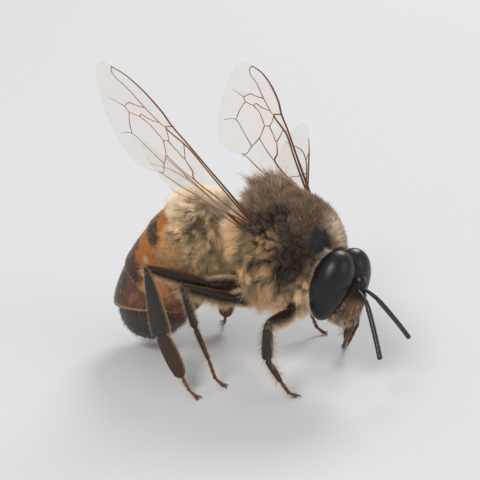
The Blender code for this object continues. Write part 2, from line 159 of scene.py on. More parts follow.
# %% A helper that lofts
class Clay:
    """Gathers lofted shapes and numbers for each of their points."""

    def __init__(self):
        self.points, self.faces, self.numbers = [], [], {}

    def add(self, points, faces, numbers):
        first = sum(map(len, self.points))
        self.points.append(points)
        self.faces += [[first + i for i in face] for face in faces]
        for name, value in numbers.items():
            self.numbers.setdefault(name, []).append(value)

    def loft(self, rings, start=None, end=None, **numbers):
        """Rings is rows x sides x 3.  A pole closes an end; without one it is a flat cap."""
        rings = np.asarray(rings, float)
        rows, sides = rings.shape[:2]
        points, capped = [rings.reshape(-1, 3)], []
        grid = np.arange(rows * sides).reshape(rows, sides)
        right = np.roll(grid, -1, axis=1)
        faces = np.stack([grid[:-1], right[:-1], right[1:], grid[1:]], axis=-1).reshape(-1, 4).tolist()
        for row, pole in ((0, start), (-1, end)):
            if pole is None:
                faces.append(grid[row][::1 if row else -1].tolist())
                continue
            faces += [(a, b, rows * sides + len(capped)) for a, b in zip(grid[row].tolist(), right[row].tolist())]
            points.append([pole])
            capped.append(row)
        for name, value in numbers.items():
            value = np.asarray(value, float)
            if value.ndim < 2:
                value = np.broadcast_to(value, (rows, sides, *value.shape))
            numbers[name] = np.concatenate([value.reshape(rows * sides, *value.shape[2:]),
                                            [value[row].mean(axis=0) for row in capped]])
        self.add(np.concatenate(points), faces, numbers)

    def piece(self, name):
        """The mesh object, faces outward, with its numbers as attributes."""
        mesh = bpy.data.meshes.new(name)
        mesh.from_pydata(np.concatenate(self.points).tolist(), [], self.faces)
        shape = bmesh.new()
        shape.from_mesh(mesh)
        bmesh.ops.recalc_face_normals(shape, faces=shape.faces)
        shape.to_mesh(mesh)
        shape.free()
        mesh.shade_smooth()
        for key, blocks in self.numbers.items():
            self.numbers[key] = np.concatenate(blocks)
            write(mesh, key, self.numbers[key])
        return show(name, mesh)


def write(mesh, name, values):
    """Store one number, direction or colour for each point of a mesh."""
    values, count = np.asarray(values, float), len(mesh.vertices)
    if values.ndim == 0 or len(values) != count:
        values = np.broadcast_to(values, (count, *values.shape))
    if name == "markings":                # colours also need an alpha
        values = np.column_stack([values, np.ones(count)])
    kind, field = {1: ("FLOAT", "value"), 3: ("FLOAT_VECTOR", "vector"), 4: ("FLOAT_COLOR", "color")}[
        values.shape[1] if values.ndim > 1 else 1]
    attribute = mesh.attributes.get(name) or mesh.attributes.new(name, kind, "POINT")
    attribute.data.foreach_set(field, values.astype(np.float32).ravel())


print("clay can", [name for name in vars(Clay) if name[0] != "_"])


# %% Rings to loft
LIMB_ROWS, LIMB_SQUARE = 26, 0.85         # rings of a limb; below 1 they are squarer than an oval


def smooth_rows(rows, count):
    """A smooth curve (Catmull-Rom) through rows of numbers, sampled count times."""
    rows = np.asarray(rows, float)
    padded = np.concatenate([2 * rows[:1] - rows[1:2], rows, 2 * rows[-1:] - rows[-2:-1]])
    places = np.linspace(0, len(rows) - 1, count)
    index = np.minimum(places.astype(int), len(rows) - 2)
    t = (places - index)[:, None]
    p0, p1, p2, p3 = (padded[index + k] for k in range(4))
    return 0.5 * (2 * p1 + (p2 - p0) * t + (2 * p0 - 5 * p1 + 4 * p2 - p3) * t ** 2
                  + (3 * p1 - p0 - 3 * p2 + p3) * t ** 3)


def angles(sides):
    return 2 * np.pi * (np.arange(sides) + 0.5) / sides


def oval(wide, deep, height, turn):
    """One level ring, or each of its points at a height of its own."""
    return np.stack([wide * np.cos(turn), deep * np.sin(turn), height + 0 * turn], axis=1)


def limb_rings(start, end, profile, facing, sides):
    """Rings of a straight limb; profile rows hold share along, breadth and thickness."""
    along = unit(end - start)
    thin = unit(facing - along * (facing @ along))
    rows = smooth_rows(profile, LIMB_ROWS)
    wide, deep = (np.sign(wave) * np.abs(wave) ** LIMB_SQUARE
                  for wave in (np.cos(angles(sides)), np.sin(angles(sides))))
    centre = start + np.outer(rows[:, 0], end - start)
    return (centre[:, None] + rows[:, 1, None, None] / 2 * wide[:, None] * np.cross(along, thin)
            + rows[:, 2, None, None] / 2 * deep[:, None] * thin)


def tube_rings(path, radii, sides, across=(0.0, 1.0, 0.0)):
    """Rings of a round tube along a path of points."""
    radii = np.broadcast_to(radii, (len(path),))
    ahead = unit(np.gradient(path, axis=0))
    side = unit(np.cross(ahead, across))
    turn = angles(sides)[:, None]
    return path[:, None] + radii[:, None, None] * (np.cos(turn) * side[:, None]
                                                   + np.sin(turn) * np.cross(ahead, side)[:, None])


def dome(clay, centre, half, count=10, sides=16, **numbers):
    """A small egg shape with given half sizes along the three axes."""
    rings = [oval(half[0] * math.sin(polar), half[1] * math.sin(polar), half[2] * math.cos(polar), angles(sides))
             + centre for polar in np.pi * np.arange(1, count) / count]
    clay.loft(rings, *(centre + np.array((0, 0, end * half[2])) for end in (1, -1)), **numbers)


print("a square ring has", len(oval(1, 1, 0, angles(4))), "points")

# %% [markdown]
# ## Paint that shells and hair can share
# A bee's markings must sit at one place on the shell and on the hair over it.  So the colours
# are worked out once for each point of a skin, as a colour attribute called `markings`, and
# the hair inherits it from its root.  Materials then add what is finer than that: grain,
# pores and the change from root to tip.  A `Wire` is a node's output that can be used in
# plain sums, and `Web` adds nodes to a tree.  One node group of fine grain serves many
# materials.


# %% Wires that can be summed
class Wire:
    """A node's output.  Sums with it add a maths node each, for a number or for a vector."""

    def __init__(self, tree, socket):
        self.tree, self.socket = tree, socket

    def then(self, operation, *others):
        return maths(self.tree, operation, self, *others)

    def fit(self, factor, offset):
        return self.then("MULTIPLY_ADD", factor, offset)

    def __add__(self, other):
        return self.then("ADD", other)

    def __sub__(self, other):
        return self.then("SUBTRACT", other)

    def __mul__(self, other):
        return self.then("MULTIPLY" if self.socket.type == "VALUE" else "SCALE", other)

    def __rsub__(self, other):
        return maths(self.tree, "SUBTRACT", other, self)

    def __rtruediv__(self, other):
        return maths(self.tree, "DIVIDE", other, self)


def maths(tree, operation, *values):
    plain = next(value for value in values if isinstance(value, Wire)).socket.type == "VALUE"
    made = tree.nodes.new("ShaderNodeMath" if plain else "ShaderNodeVectorMath")
    made.operation = operation
    for slot, value in zip((0, 3) if operation == "SCALE" else (0, 1, 2), values):
        link(tree, made.inputs[slot], value)
    return Wire(tree, made.outputs["Value" if plain or operation in ("LENGTH", "DOT_PRODUCT") else "Vector"])


def link(tree, socket, value):
    """Feed a socket from a wire, or set it to a plain value."""
    if isinstance(value, Wire):
        tree.links.new(value.socket, socket)
    else:
        socket.default_value = (*value, 1) if socket.type == "RGBA" else value


print("a wire adds, subtracts, multiplies and divides")


# %% A web of nodes
class Web:
    """A node tree with short ways to add to it."""

    def __init__(self, tree):
        self.tree = tree

    def node(self, kind, settings=(), **values):
        """A node and its inputs, with a name's spaces as underscores; called, it gives an output."""
        made = self.tree.nodes.new(kind)
        for key, value in dict(settings).items():
            setattr(made, key, value)
        for key, value in values.items():
            link(self.tree, made.inputs[int(key[1:]) if key[0] == "_" else key.replace("_", " ")], value)
        return lambda output=0: Wire(self.tree, made.outputs[output])

    def mix(self, share, first, second, blend="MIX"):
        return self.node("ShaderNodeMix", {"data_type": "RGBA", "blend_type": blend}, _0=share, _6=first,
                         _7=second)(2)

    def noise(self, **inputs):
        return self.node("ShaderNodeTexNoise", **inputs)

    def cells(self, **inputs):
        return self.node("ShaderNodeTexVoronoi", {"feature": "F1"}, **inputs)

    def store(self, geometry, name, value, kind, domain):
        return self.node("GeometryNodeStoreNamedAttribute", {"data_type": kind, "domain": domain}, Name=name,
                         Geometry=geometry, Value=value)()


def new_web(name, kind, inputs, outputs):
    """An empty node group, with its given inputs and their socket identifiers."""
    tree = bpy.data.node_groups.new(name, kind)
    keys = {}
    for label, socket, default in inputs:
        made = tree.interface.new_socket(name=label, in_out="INPUT", socket_type="NodeSocket" + socket)
        keys[label] = made.identifier
        if default is not None:
            made.default_value = default
    for label, socket in outputs:
        tree.interface.new_socket(name=label, in_out="OUTPUT", socket_type="NodeSocket" + socket)
    web = Web(tree)
    return web, web.node("NodeGroupInput"), keys


print("a web can", [name for name in vars(Web) if name[0] != "_"])


# %% A group of fine grain
def grain_group():
    """Soft blotches and fine grain at two scales, as masks and as a height."""
    web, given, _ = new_web(
        "shell grain", "ShaderNodeTree",
        (("Place", "Vector", None), ("Blotch Size", "Float", 0.6), ("Grain Size", "Float", 0.05)),
        (("Blotch", "Float"), ("Grain", "Float"), ("Height", "Float")))
    blotch = web.noise(Vector=given("Place"), Scale=1.0 / given("Blotch Size"), Detail=3.0, Roughness=0.6)()
    fine = web.noise(Vector=given("Place"), Scale=1.0 / given("Grain Size"), Detail=2.0)()
    pores = web.cells(Vector=given("Place"), Scale=0.6 / given("Grain Size"))("Distance")
    web.node("NodeGroupOutput", Blotch=blotch, Grain=fine, Height=fine * 0.5 + pores)
    return web.tree


GRAIN = grain_group()
print("the grain group has", len(GRAIN.nodes), "nodes")


# %% Paint for one material
class Paint(Web):
    """The web of a new material with a shader, and the place on the bee in millimetres."""

    def __init__(self, name, **shader):
        self.material = bpy.data.materials.new(name)
        self.material.use_nodes = True
        super().__init__(self.material.node_tree)
        self.place = self.node("ShaderNodeMapping", Vector=self.node("ShaderNodeTexCoord")("Object"),
                               Location=-HEART, Scale=(1 / MM, 1 / MM, 1 / MM))()
        self.set(**shader)

    def set(self, **shader):
        for key, value in shader.items():
            link(self.tree, self.tree.nodes["Principled BSDF"].inputs[key.replace("_", " ")], value)

    def read(self, name, output="Fac"):
        return self.node("ShaderNodeAttribute", {"attribute_name": name})(output)

    def grain(self, blotch, fine):
        return self.node("ShaderNodeGroup", {"node_tree": GRAIN}, Place=self.place, Blotch_Size=blotch,
                         Grain_Size=fine)

    def bump(self, height, depth, strength=1.0):
        """Raise the surface by a height map; depth is in millimetres."""
        self.set(Normal=self.node("ShaderNodeBump", Strength=strength, Distance=depth * MM, Height=height)())


print("a paint can also", [name for name in vars(Paint) if name[0] != "_"])


# %% Shells and hair
def shell_material(name, roughness, coat=0.0, blotch=0.5, pore=0.05, depth=0.006, contrast=0.35, specular=0.5):
    """Bare shell: markings from the point colours, blotches, pores and a soft gloss."""
    paint = Paint(name, Specular_IOR_Level=specular, Coat_Weight=coat, Coat_Roughness=0.15)
    masks = paint.grain(blotch, pore)
    shade = masks("Blotch").fit(2 * contrast, 1 - contrast) * masks("Grain").fit(0.4, 0.8)
    paint.set(Base_Color=paint.read("markings", "Color") * shade,
              Roughness=masks("Blotch").fit(0.2, roughness - 0.1))
    paint.bump(masks("Height"), depth)
    return paint.material


def hair_material():
    """Hair: the skin's markings, darker at the root as painted shade deep in the coat, and lighter at the tip."""
    paint = Paint("bee hair", Roughness=0.5, Specular_IOR_Level=0.35, Sheen_Weight=0.12, Sheen_Roughness=0.4)
    tint = paint.read("tint")
    # The dark roots are painted shade deep in the coat
    rise = paint.read("along").fit(1.27, 0.28)
    hue = paint.mix(tint.then("MAXIMUM", 0.0).then("MINIMUM", 1.0), (0.92, 0.98, 1.08), (1.08, 1.01, 0.90))
    tinted = paint.mix(1.0, paint.read("markings", "Color"), hue, "MULTIPLY")
    # The lock tint also brings the painted shade at the borders of locks
    paint.set(Base_Color=tinted * (rise * tint.fit(0.92, 0.61)))
    return paint.material


HAIR = hair_material()
SHELL = shell_material("abdomen shell", 0.38, coat=0.06, depth=0.004, contrast=0.3, specular=0.20)
SKIN = shell_material("body skin", 0.55, blotch=0.4, depth=0.01)
LEG_SHELL = shell_material("leg shell", 0.30, coat=0.12, pore=0.045, depth=0.004, contrast=0.3, specular=0.32)
print("made", [made.name for made in (HAIR, SHELL, SKIN, LEG_SHELL)])

# %% [markdown]
# ## The skin of head, thorax and waist
# Under the fleece the head, the thorax and the thin waist are one unbroken wall, so here they
# are one skin.  Each is lofted from rings, a little inside its solid, by the depth of the coat
# on it.  The lofts overlap, and a voxel remesh turns them into a single closed surface that a
# few rounds of smoothing blend together.

# %% Sizes of the body skin
THORAX_TURN = rotation(math.radians(15), "Y")
THORAX_LENGTH, THORAX_WIDTH, THORAX_RISE, THORAX_DEPTH = 5.10, 4.85, 2.60, 2.55
SCUTELLUM, BREAST = (-1.80, 0.62, 0.62), (1.25, 1.1, 0.80)      # place, spread and rise of two swellings
HEAD_CENTRE = np.array((3.2, 0.0, -1.28))
HEAD_TURN = rotation(math.radians(10), "Y") @ rotation(-math.radians(11), "X")
# Height, middle, half depth, half width of the front, half width of the back
HEAD_SECTIONS = np.array((
    (-1.78, 0.44, 0.42, 0.45, 0.45), (-1.45, 0.32, 0.86, 0.80, 0.90), (-0.90, 0.14, 1.14, 0.88, 1.26),
    (-0.20, 0.04, 1.24, 0.78, 1.45), (0.40, -0.10, 1.12, 0.48, 1.40), (1.00, -0.26, 0.86, 0.26, 1.12),
    (1.36, -0.35, 0.50, 0.10, 0.60)))
NECK = np.array(((1.6, 0, -0.5), (2.3, 0, -0.85), (3.0, 0, -1.1)))
WAIST = np.array(((-1.7, 0, -0.55), (-2.5, -0.05, -0.6), (-3.2, -0.2, -0.25), (-3.9, -0.38, 0.15)))


print("the thorax skin is", THORAX_LENGTH, "mm long and", THORAX_WIDTH, "mm wide")


# %% Rings and a remesh
def on_head(points):
    """Places given in the head's own directions, in bee millimetres."""
    return HEAD_CENTRE + np.asarray(points, float) @ HEAD_TURN.T


def thorax_rings(count=40, sides=64):
    up = np.sin(angles(sides))
    for polar in np.pi * np.arange(1, count) / count:
        along, swell = -THORAX_LENGTH / 2 * math.cos(polar), math.sin(polar) ** 0.85
        hump, keel = (rise * bell(along, place, spread) for place, spread, rise in (SCUTELLUM, BREAST))
        height = np.where(up > 0, THORAX_RISE * swell + hump * np.abs(up) ** 3,
                          THORAX_DEPTH * swell + keel * swell * np.abs(up) ** 3)
        yield np.stack([np.full(sides, along), THORAX_WIDTH / 2 * swell * np.cos(angles(sides)), height * up],
                       axis=1) @ THORAX_TURN.T


def bake_modifiers(piece, name):
    """A plain mesh of what the modifiers make; the maker object is removed."""
    seen = bpy.context.evaluated_depsgraph_get()
    mesh = bpy.data.meshes.new_from_object(piece.evaluated_get(seen), preserve_all_data_layers=True, depsgraph=seen)
    mesh.name = name
    bpy.data.objects.remove(piece)
    mesh.shade_smooth()
    return show(name, mesh)


def remeshed(piece, name, voxel, rounds):
    """Fuse overlapping closed shapes into one skin, and smooth it in a few rounds."""
    fuse = piece.modifiers.new("fuse", "REMESH")
    fuse.mode, fuse.voxel_size = "VOXEL", voxel
    ease = piece.modifiers.new("ease", "SMOOTH")
    ease.iterations, ease.factor = rounds, 0.5
    return bake_modifiers(piece, name)


print("the thorax has", len(list(thorax_rings())), "rings")

# %% Loft, join and smooth the body skin
body = Clay()
body.loft(list(thorax_rings()), *(THORAX_TURN @ np.array((end * THORAX_LENGTH / 2, 0, 0)) for end in (-1, 1)))
rings = []
for height, middle, depth, front, back in smooth_rows(HEAD_SECTIONS, 30):
    turn = angles(48)
    wide = back + (front - back) * (1 + np.cos(turn)) / 2
    rings.append(on_head(oval(depth, wide, height, turn) + (middle, 0, 0)))
body.loft(rings, *(on_head((HEAD_SECTIONS[end][1], 0, HEAD_SECTIONS[end][0] + shift))
                   for end, shift in ((0, -0.1), (-1, 0.1))))
body.loft(tube_rings(smooth_rows(NECK, 10), radii=0.85, sides=24))
body.loft(tube_rings(smooth_rows(WAIST, 14), radii=np.linspace(0.95, 0.42, 14), sides=24))
body_skin = remeshed(body.piece("rough_body"), "body_skin", voxel=0.075, rounds=6)
print("body skin:", len(body_skin.data.polygons), "faces")

# %% [markdown]
# ## Where the fleece grows, and its colours
# A coat is painted, not modelled hair by hair: for each point of the skin we choose how long
# the hair is, how dense, which way it lies, how steeply it stands and how much it bends into
# locks.  Spots with soft edges do this well.  A spot has a centre, a reach and the values it
# blends towards, and spots off the midline have a twin on the other side.

# %% Hair values that spots can change
TAUPE, GREY_BROWN, TAN = tone(136, 113, 92), tone(104, 84, 70), tone(210, 174, 130)
GOLD, PALE_TAN, DARK = tone(232, 196, 140), tone(242, 208, 170), tone(56, 45, 36)
BLUE_BLACK, RUFF, PALE_RUFF = tone(54, 60, 66), tone(224, 198, 162), tone(236, 216, 190)
FACE_TAN = tone(176, 140, 106)


class Field:
    """Values over a skin, changed by soft spots."""

    def __init__(self, points, normals):
        self.points, self.normals = points, normals
        one = np.ones(len(points))
        self.values = {"length": one * 0.42, "density": one, "lift": one * 0.85, "bend": one * 0.12,
                       "clump": one * 0.07, "lie": one[:, None] * (-1, 0, 0.3), "colour": one[:, None] * TAUPE}

    def mix(self, share, **targets):
        """Blend towards new values by a share for each point."""
        for name, target in targets.items():
            weight = share if self.values[name].ndim == 1 else share[:, None]
            self.values[name] = self.values[name] * (1 - weight) + np.asarray(target, float) * weight

    def spot(self, centre, reach, strength=1.0, twin=True, soft=0.5, **targets):
        """A soft round spot, and its mirror image on the other side of the bee."""
        for side in (1, -1) if twin and centre[1] else (1,):
            away = np.linalg.norm((self.points - np.array(centre) * (1, side, 1)) / reach, axis=1)
            self.mix(strength * (1 - step_between(1 - soft, 1 + soft, away)), **targets)

    def store(self, mesh, region):
        """Write the values where the hair tree reads them."""
        lie = self.values["lie"]
        lie = lie - self.normals * np.sum(lie * self.normals, axis=1, keepdims=True)
        write(mesh, "coat_lie", unit(lie))
        for name in ("length", "density", "lift", "bend", "clump"):
            write(mesh, "coat_" + name, np.maximum(self.values[name], 0))
        write(mesh, "markings", self.values["colour"])
        write(mesh, "coat_region", region)


def read_points(mesh):
    """Places and normals of a mesh's points."""
    both = []
    for source, key in ((mesh.vertices, "co"), (mesh.vertex_normals, "vector")):
        numbers = np.empty(len(mesh.vertices) * 3, np.float32)
        source.foreach_get(key, numbers)
        both.append(numbers.reshape(-1, 3).astype(float))
    return both


print("a field can", [name for name in vars(Field) if name[0] != "_"])

# %% Spots on the thorax
places, normals = read_points(body_skin.data)
field = Field(places, normals)
x, y, z = places.T
# Back: short velvet, darker towards the wings
field.spot((0.9, 0.2, 2.5), (1.0, 1.0, 0.6), colour=GREY_BROWN * 1.1, strength=0.5)
low = 1 - step_between(-0.4, 1.3, z + 0.25 * x)     # the sides, below the wings
field.mix(low, colour=TAN * 1.36, length=0.72, lie=(-0.5, 0, -0.8), clump=0.9, lift=0.50, bend=0.35, density=0.75)
under = 1 - step_between(-2.0, -1.0, z)
field.mix(under, colour=PALE_TAN * 1.15, length=0.90, lie=(-0.3, 0, -1), clump=0.35, lift=0.5, bend=0.3,
          density=0.9)
for centre, reach, values in (
        ((-1.45, 0, 2.4), (1.0, 1.7, 1.2), dict(length=1.15, lie=(-0.8, 0, 0.6), lift=0.60, bend=0.05, clump=0.7,
                                                colour=TAUPE * 1.2, density=0.75)),
        ((0.55, -1.55, 2.2), (0.8, 0.5, 0.5), dict(colour=GREY_BROWN * 0.45, length=0.36, strength=0.85,
                                                   clump=0.25)),
        ((0.15, -2.1, 1.55), (1.3, 0.55, 0.6), dict(colour=GREY_BROWN * 0.36, length=0.50, strength=0.8,
                                                    clump=0.6)),
        ((0.45, -2.5, 0.95), (0.75, 0.8, 0.5), dict(colour=GOLD * 0.80, strength=0.4, clump=0.8)),
        ((-0.35, -2.5, 0.2), (0.8, 0.8, 0.8), dict(colour=TAN * 0.58, clump=1.0, length=0.75)),
        ((-1.85, -1.8, 0.6), (0.75, 0.9, 0.95), dict(colour=GOLD * 1.15, clump=0.35, length=0.95, density=1.0)),
        ((-2.05, -1.35, 0.75), (0.75, 1.0, 0.95), dict(colour=PALE_TAN * 1.4, clump=0.2, length=1.30, density=1.0,
                                                       lie=(-1, -0.5, 0.1), lift=0.62)),
        ((1.45, -2.1, -0.5), (0.75, 0.9, 1.2), dict(colour=DARK * 1.6, length=0.5, clump=0.8)),
        ((1.75, -1.8, 0.5), (0.7, 0.9, 0.7), dict(colour=GREY_BROWN * 0.8, strength=0.9, length=0.42, clump=0.3)),
        ((2.1, -0.2, 1.3), (0.6, 1.3, 0.6), dict(colour=TAUPE * 0.95, strength=0.9, length=0.34)),
        ((2.4, 0.65, 1.15), (0.5, 0.9, 0.95), dict(colour=PALE_RUFF * 1.05, strength=0.7, length=0.36, twin=False,
                                                   soft=0.8)),
        ((1.75, -1.3, -1.6), (0.7, 0.8, 0.7), dict(colour=PALE_TAN, length=0.9, strength=0.9)),
        ((-2.3, 0, -0.6), (0.6, 1.8, 1.2), dict(colour=PALE_TAN, length=0.6, strength=0.7)),
        ((-0.9, -2.0, -1.7), (0.95, 0.8, 0.8), dict(colour=TAN * 1.25, length=1.35, lie=(-0.2, -0.5, -1), lift=0.5,
                                                    clump=0.5, density=1.0))):
    field.spot(centre, reach, **values)
front = step_between(2.0, 2.5, x) * (1 - step_between(-0.1, 0.4, z))
field.mix(front * 0.9, colour=RUFF * 0.55, length=0.50, lift=0.55, lie=(0.7, 0, 0.2), clump=0.3, bend=0.1)
field.spot((2.38, -0.76, 0.84), (0.62, 0.58, 0.56), colour=BLUE_BLACK, length=0.13, density=0.45, soft=0.3,
           clump=0.0, twin=False)
print("the worn patch shows", int((field.values["density"] < 0.6).sum()), "points of the skin")

# %% A ruff behind the eyes, a short brown face and a dark brow
head_place = (places - HEAD_CENTRE) @ HEAD_TURN
hx, hy, hz = head_place.T
off_thorax = np.linalg.norm(places @ THORAX_TURN / (2.55, 2.42, 2.6), axis=1)
off_head = np.linalg.norm(head_place / (1.25, 1.42, 1.8), axis=1)
on_the_head = step_between(-0.06, 0.10, off_thorax - off_head) * step_between(1.4, 1.7, x)
field.mix(on_the_head, colour=PALE_RUFF, length=0.30, lift=0.6, lie=(0.2, 0, 0), clump=0.2, bend=0.1, density=0.9)
outward = unit(np.stack([-0.6 + 0 * hx, 0.9 * np.sign(hy) * np.sqrt(np.abs(hy)), 0.8 * hz], axis=1)) @ HEAD_TURN.T
field.mix(on_the_head * (1 - step_between(-0.5, 0.0, hx)), length=0.80)
field.mix(on_the_head * (1 - step_between(-0.3, 0.4, hx)), lie=outward)
face = on_the_head * step_between(0.2, 0.7, hx)
field.mix(face, colour=FACE_TAN, length=0.20, lift=0.5, lie=(0.3, 0, -1), density=0.9, clump=0.6, bend=0.3)
field.mix(face * (1 - step_between(-1.6, -1.1, hz)), colour=RUFF * 0.9, length=0.34, lift=0.4)     # the chin
field.mix(face * step_between(-0.60, -0.15, hz), colour=DARK * 1.1, length=0.20, density=0.7, lift=0.75, clump=0.3)
crown = on_the_head * step_between(0.7, 1.0, hz) * (1 - step_between(0.35, 0.7, np.abs(hy)))
field.mix(crown, colour=DARK * 1.2, length=0.15)
streaks = 1 + 0.16 * mottle(places, 1.1, 3) + 0.16 * mottle(places, 0.35, 4)
field.values["colour"] = field.values["colour"] * np.clip(streaks, 0.5, 1.6)[:, None]
# The skin is shared out, so that each coat stays a piece of moderate size
ON_BACK, ON_RIGHT, ON_LEFT, ON_BREAST, ON_HEAD, ON_SHOULDERS = map(float, range(6))
region = np.select([on_the_head > 0.5, under > 0.6, (y < 0) & (low > 0.5), (y >= 0) & (low > 0.5), x > 0.2],
                   [ON_HEAD, ON_BREAST, ON_RIGHT, ON_LEFT, ON_SHOULDERS], ON_BACK)
field.store(body_skin.data, region)
print("longest hair", round(float(field.values["length"].max()), 2), "mm")

# %% [markdown]
# ## Growing the hair
# Real fleece is thousands of fine hairs.  Blender's own particle hair would be lost when the
# model leaves Blender, so every hair here is solid mesh: a thin, tapered, three-sided spike.
# Geometry Nodes scatter points over the skin, stand one spike on each, and bend it along the
# lie of the coat.  Noise that changes slowly over the skin pulls neighbours the same way, and
# that is what makes locks.  At the end the instances are realized into one plain mesh.


# %% One hair to copy
def hair_template(name, heights, widths):
    """A closed three-sided spike, one unit tall, with its own little patch of UV."""
    levels = len(heights)
    points = [(width * math.cos(2 * math.pi * i / 3), width * math.sin(2 * math.pi * i / 3), height)
              for height, width in zip(heights, widths) for i in range(3)] + [(0.0, 0.0, 1.0)]
    faces, patch = [], []
    for first in range(0, 3 * levels, 3):
        down, up, tip = first / 3 / levels, (first / 3 + 1) / levels, first == 3 * levels - 3
        for i in range(3):
            left, right, j = i / 3, (i + 1) / 3, (i + 1) % 3
            faces.append((first + i, first + j, first + 3) if tip else
                         (first + i, first + j, first + 3 + j, first + 3 + i))
            patch += [(left, down), (right, down)] + ([((i + 0.5) / 3, 1.0)] if tip else [(right, up), (left, up)])
    faces.append((2, 1, 0))
    patch += [(0.0, 0.0), (0.1, 0.0), (0.0, 0.1)]
    mesh = bpy.data.meshes.new(name)
    mesh.from_pydata(points, [], faces)
    mesh.uv_layers.new(name="patch").data.foreach_set("uv", np.array(patch, np.float32).ravel())
    write(mesh, "along", np.clip(np.array(points)[:, 2], 0, 1))
    mesh.shade_smooth()
    template = show(name, mesh)
    template.hide_render = True
    return template


LONG_HAIR = hair_template("long_hair", (-0.05, 0.55), (1.0, 0.75))
SHORT_HAIR = hair_template("short_hair", (-0.05,), (1.0,))
print("a long hair has", len(LONG_HAIR.data.polygons), "faces and a short one", len(SHORT_HAIR.data.polygons))

# %% The tree that grows a coat
PATCH = 0.003                             # size of each hair's place on the baking map


def coat_tree():
    """Geometry Nodes that grow hair over a skin from its coat_ attributes."""
    web, given, keys = new_web(
        "grow a coat", "GeometryNodeTree",
        (("Skin", "Geometry", None), ("Hair", "Object", None), ("Density", "Float", 500.0),
         ("Thickness", "Float", 0.015), ("Spread", "Float", 0.15), ("Clump Size", "Float", 0.35),
         ("Region", "Float", 0.0), ("Seed", "Int", 1), ("Finish", "Material", None)), (("Coat", "Geometry"),))

    def read(name, kind="FLOAT"):
        return web.node("GeometryNodeInputNamedAttribute", {"data_type": kind}, Name=name)()

    def dice(low, high, seed):
        return web.node("FunctionNodeRandomValue", {"data_type": "FLOAT"}, _2=low, _3=high, Seed=seed)(1)

    here = (read("coat_region") - given("Region")).then("ABSOLUTE").then("LESS_THAN", 0.5)
    roots = web.node("GeometryNodeDistributePointsOnFaces", Mesh=given("Skin"), Seed=given("Seed"),
                     Density=read("coat_density") * here * given("Density"))
    normal, lie, lift = roots("Normal"), read("coat_lie", "FLOAT_VECTOR"), read("coat_lift")
    clump, position = read("coat_clump"), web.node("GeometryNodeInputPosition")()
    finer = 1.0 / given("Clump Size")
    pull = (web.noise(Vector=position, Detail=1.0, Scale=finer * 0.5)("Color") - (0.5, 0.5, 0.5)) * (clump * 1.6)
    lock = web.cells(Vector=position, Scale=finer)
    gather = lock("Position") - position
    gather = (gather - normal * gather.then("DOT_PRODUCT", normal)) * clump
    stray = web.node("FunctionNodeRandomValue", {"data_type": "FLOAT_VECTOR"}, _0=(-1, -1, -1), _1=(1, 1, 1),
                     Seed=3)() * given("Spread")
    own_way = (lock("Color") - (0.5, 0.5, 0.5)) * (clump * 1.1)
    heading = (normal * lift + lie * (1.0 - lift)) + (stray + pull * 0.45) + own_way

    length = read("coat_length") * dice(0.62, 1.0, seed=5)
    width = given("Thickness") * dice(0.75, 1.25, seed=8)
    sway = (lie * read("coat_bend") + pull) * length + gather
    # Hairs of one lock share a tint, and the border of a lock is darker than its middle: painted shade in the gaps
    # between locks
    shared, own = clump.then("MINIMUM", 1.0) * 0.85, dice(0.0, 1.0, seed=11)
    tint = (lock("Color").then("DOT_PRODUCT", (1.0, 0.0, 0.0)) - own).fit(shared, own)
    tint = lock("Distance").fit(-1.5, 0.55).fit(shared, tint).then("MAXIMUM", -0.35)
    grown = web.node(
        "GeometryNodeInstanceOnPoints", Points=roots("Points"),
        Instance=web.node("GeometryNodeObjectInfo", Object=given("Hair"))("Geometry"),
        Rotation=web.node("FunctionNodeAlignRotationToVector", {"axis": "Z"}, Vector=heading.then("NORMALIZE"))(),
        Scale=web.node("ShaderNodeCombineXYZ", X=width, Y=width, Z=length)())()
    for name, value, kind in (("sway", sway, "FLOAT_VECTOR"), ("tint", tint, "FLOAT"),
                              ("root_uv", read("OFBake", "FLOAT_VECTOR"), "FLOAT_VECTOR")):
        grown = web.store(grown, name, value, kind, "INSTANCE")
    solid = web.node("GeometryNodeRealizeInstances", Geometry=grown)()
    along = read("along")
    bent = web.node("GeometryNodeSetPosition", Geometry=solid,
                    Offset=read("sway", "FLOAT_VECTOR") * (along * along))()
    spot = read("root_uv", "FLOAT_VECTOR") + read("patch", "FLOAT_VECTOR") * PATCH
    mapped = web.store(bent, "OFBake", spot, "FLOAT2", "CORNER")
    painted = web.node("GeometryNodeSetMaterial", Geometry=mapped, Material=given("Finish"))()
    web.node("NodeGroupOutput", Coat=painted)
    return web.tree, keys


COAT_TREE, COAT_INPUTS = coat_tree()
print("the coat tree has", len(COAT_TREE.nodes), "nodes")


# %% Growing one coat
def unwrap(piece):
    """Unwrap a skin by its own shape, into the map that the hair's patches use."""
    for layer in list(piece.data.uv_layers):
        piece.data.uv_layers.remove(layer)
    piece.data.uv_layers.new(name="OFBake")
    bpy.ops.object.select_all(action="DESELECT")
    bpy.context.view_layer.objects.active = piece
    piece.select_set(True)
    bpy.ops.object.mode_set(mode="EDIT")
    bpy.ops.mesh.select_all(action="SELECT")
    bpy.ops.uv.smart_project(angle_limit=math.radians(66), island_margin=0.006)
    bpy.ops.object.mode_set(mode="OBJECT")


def run_nodes(maker, tree, keys, name, inputs):
    """Run Geometry Nodes over an object, with its inputs set by name, into a plain mesh."""
    modifier = maker.modifiers.new("nodes", "NODES")
    modifier.node_group = tree
    for key, value in inputs.items():
        modifier[keys[key.replace("_", " ")]] = value
    return bake_modifiers(maker, name)


coat_faces = 0
COAT_KEEPS = ("position", "markings", "along", "tint", "OFBake", "material_index", "sharp_face")


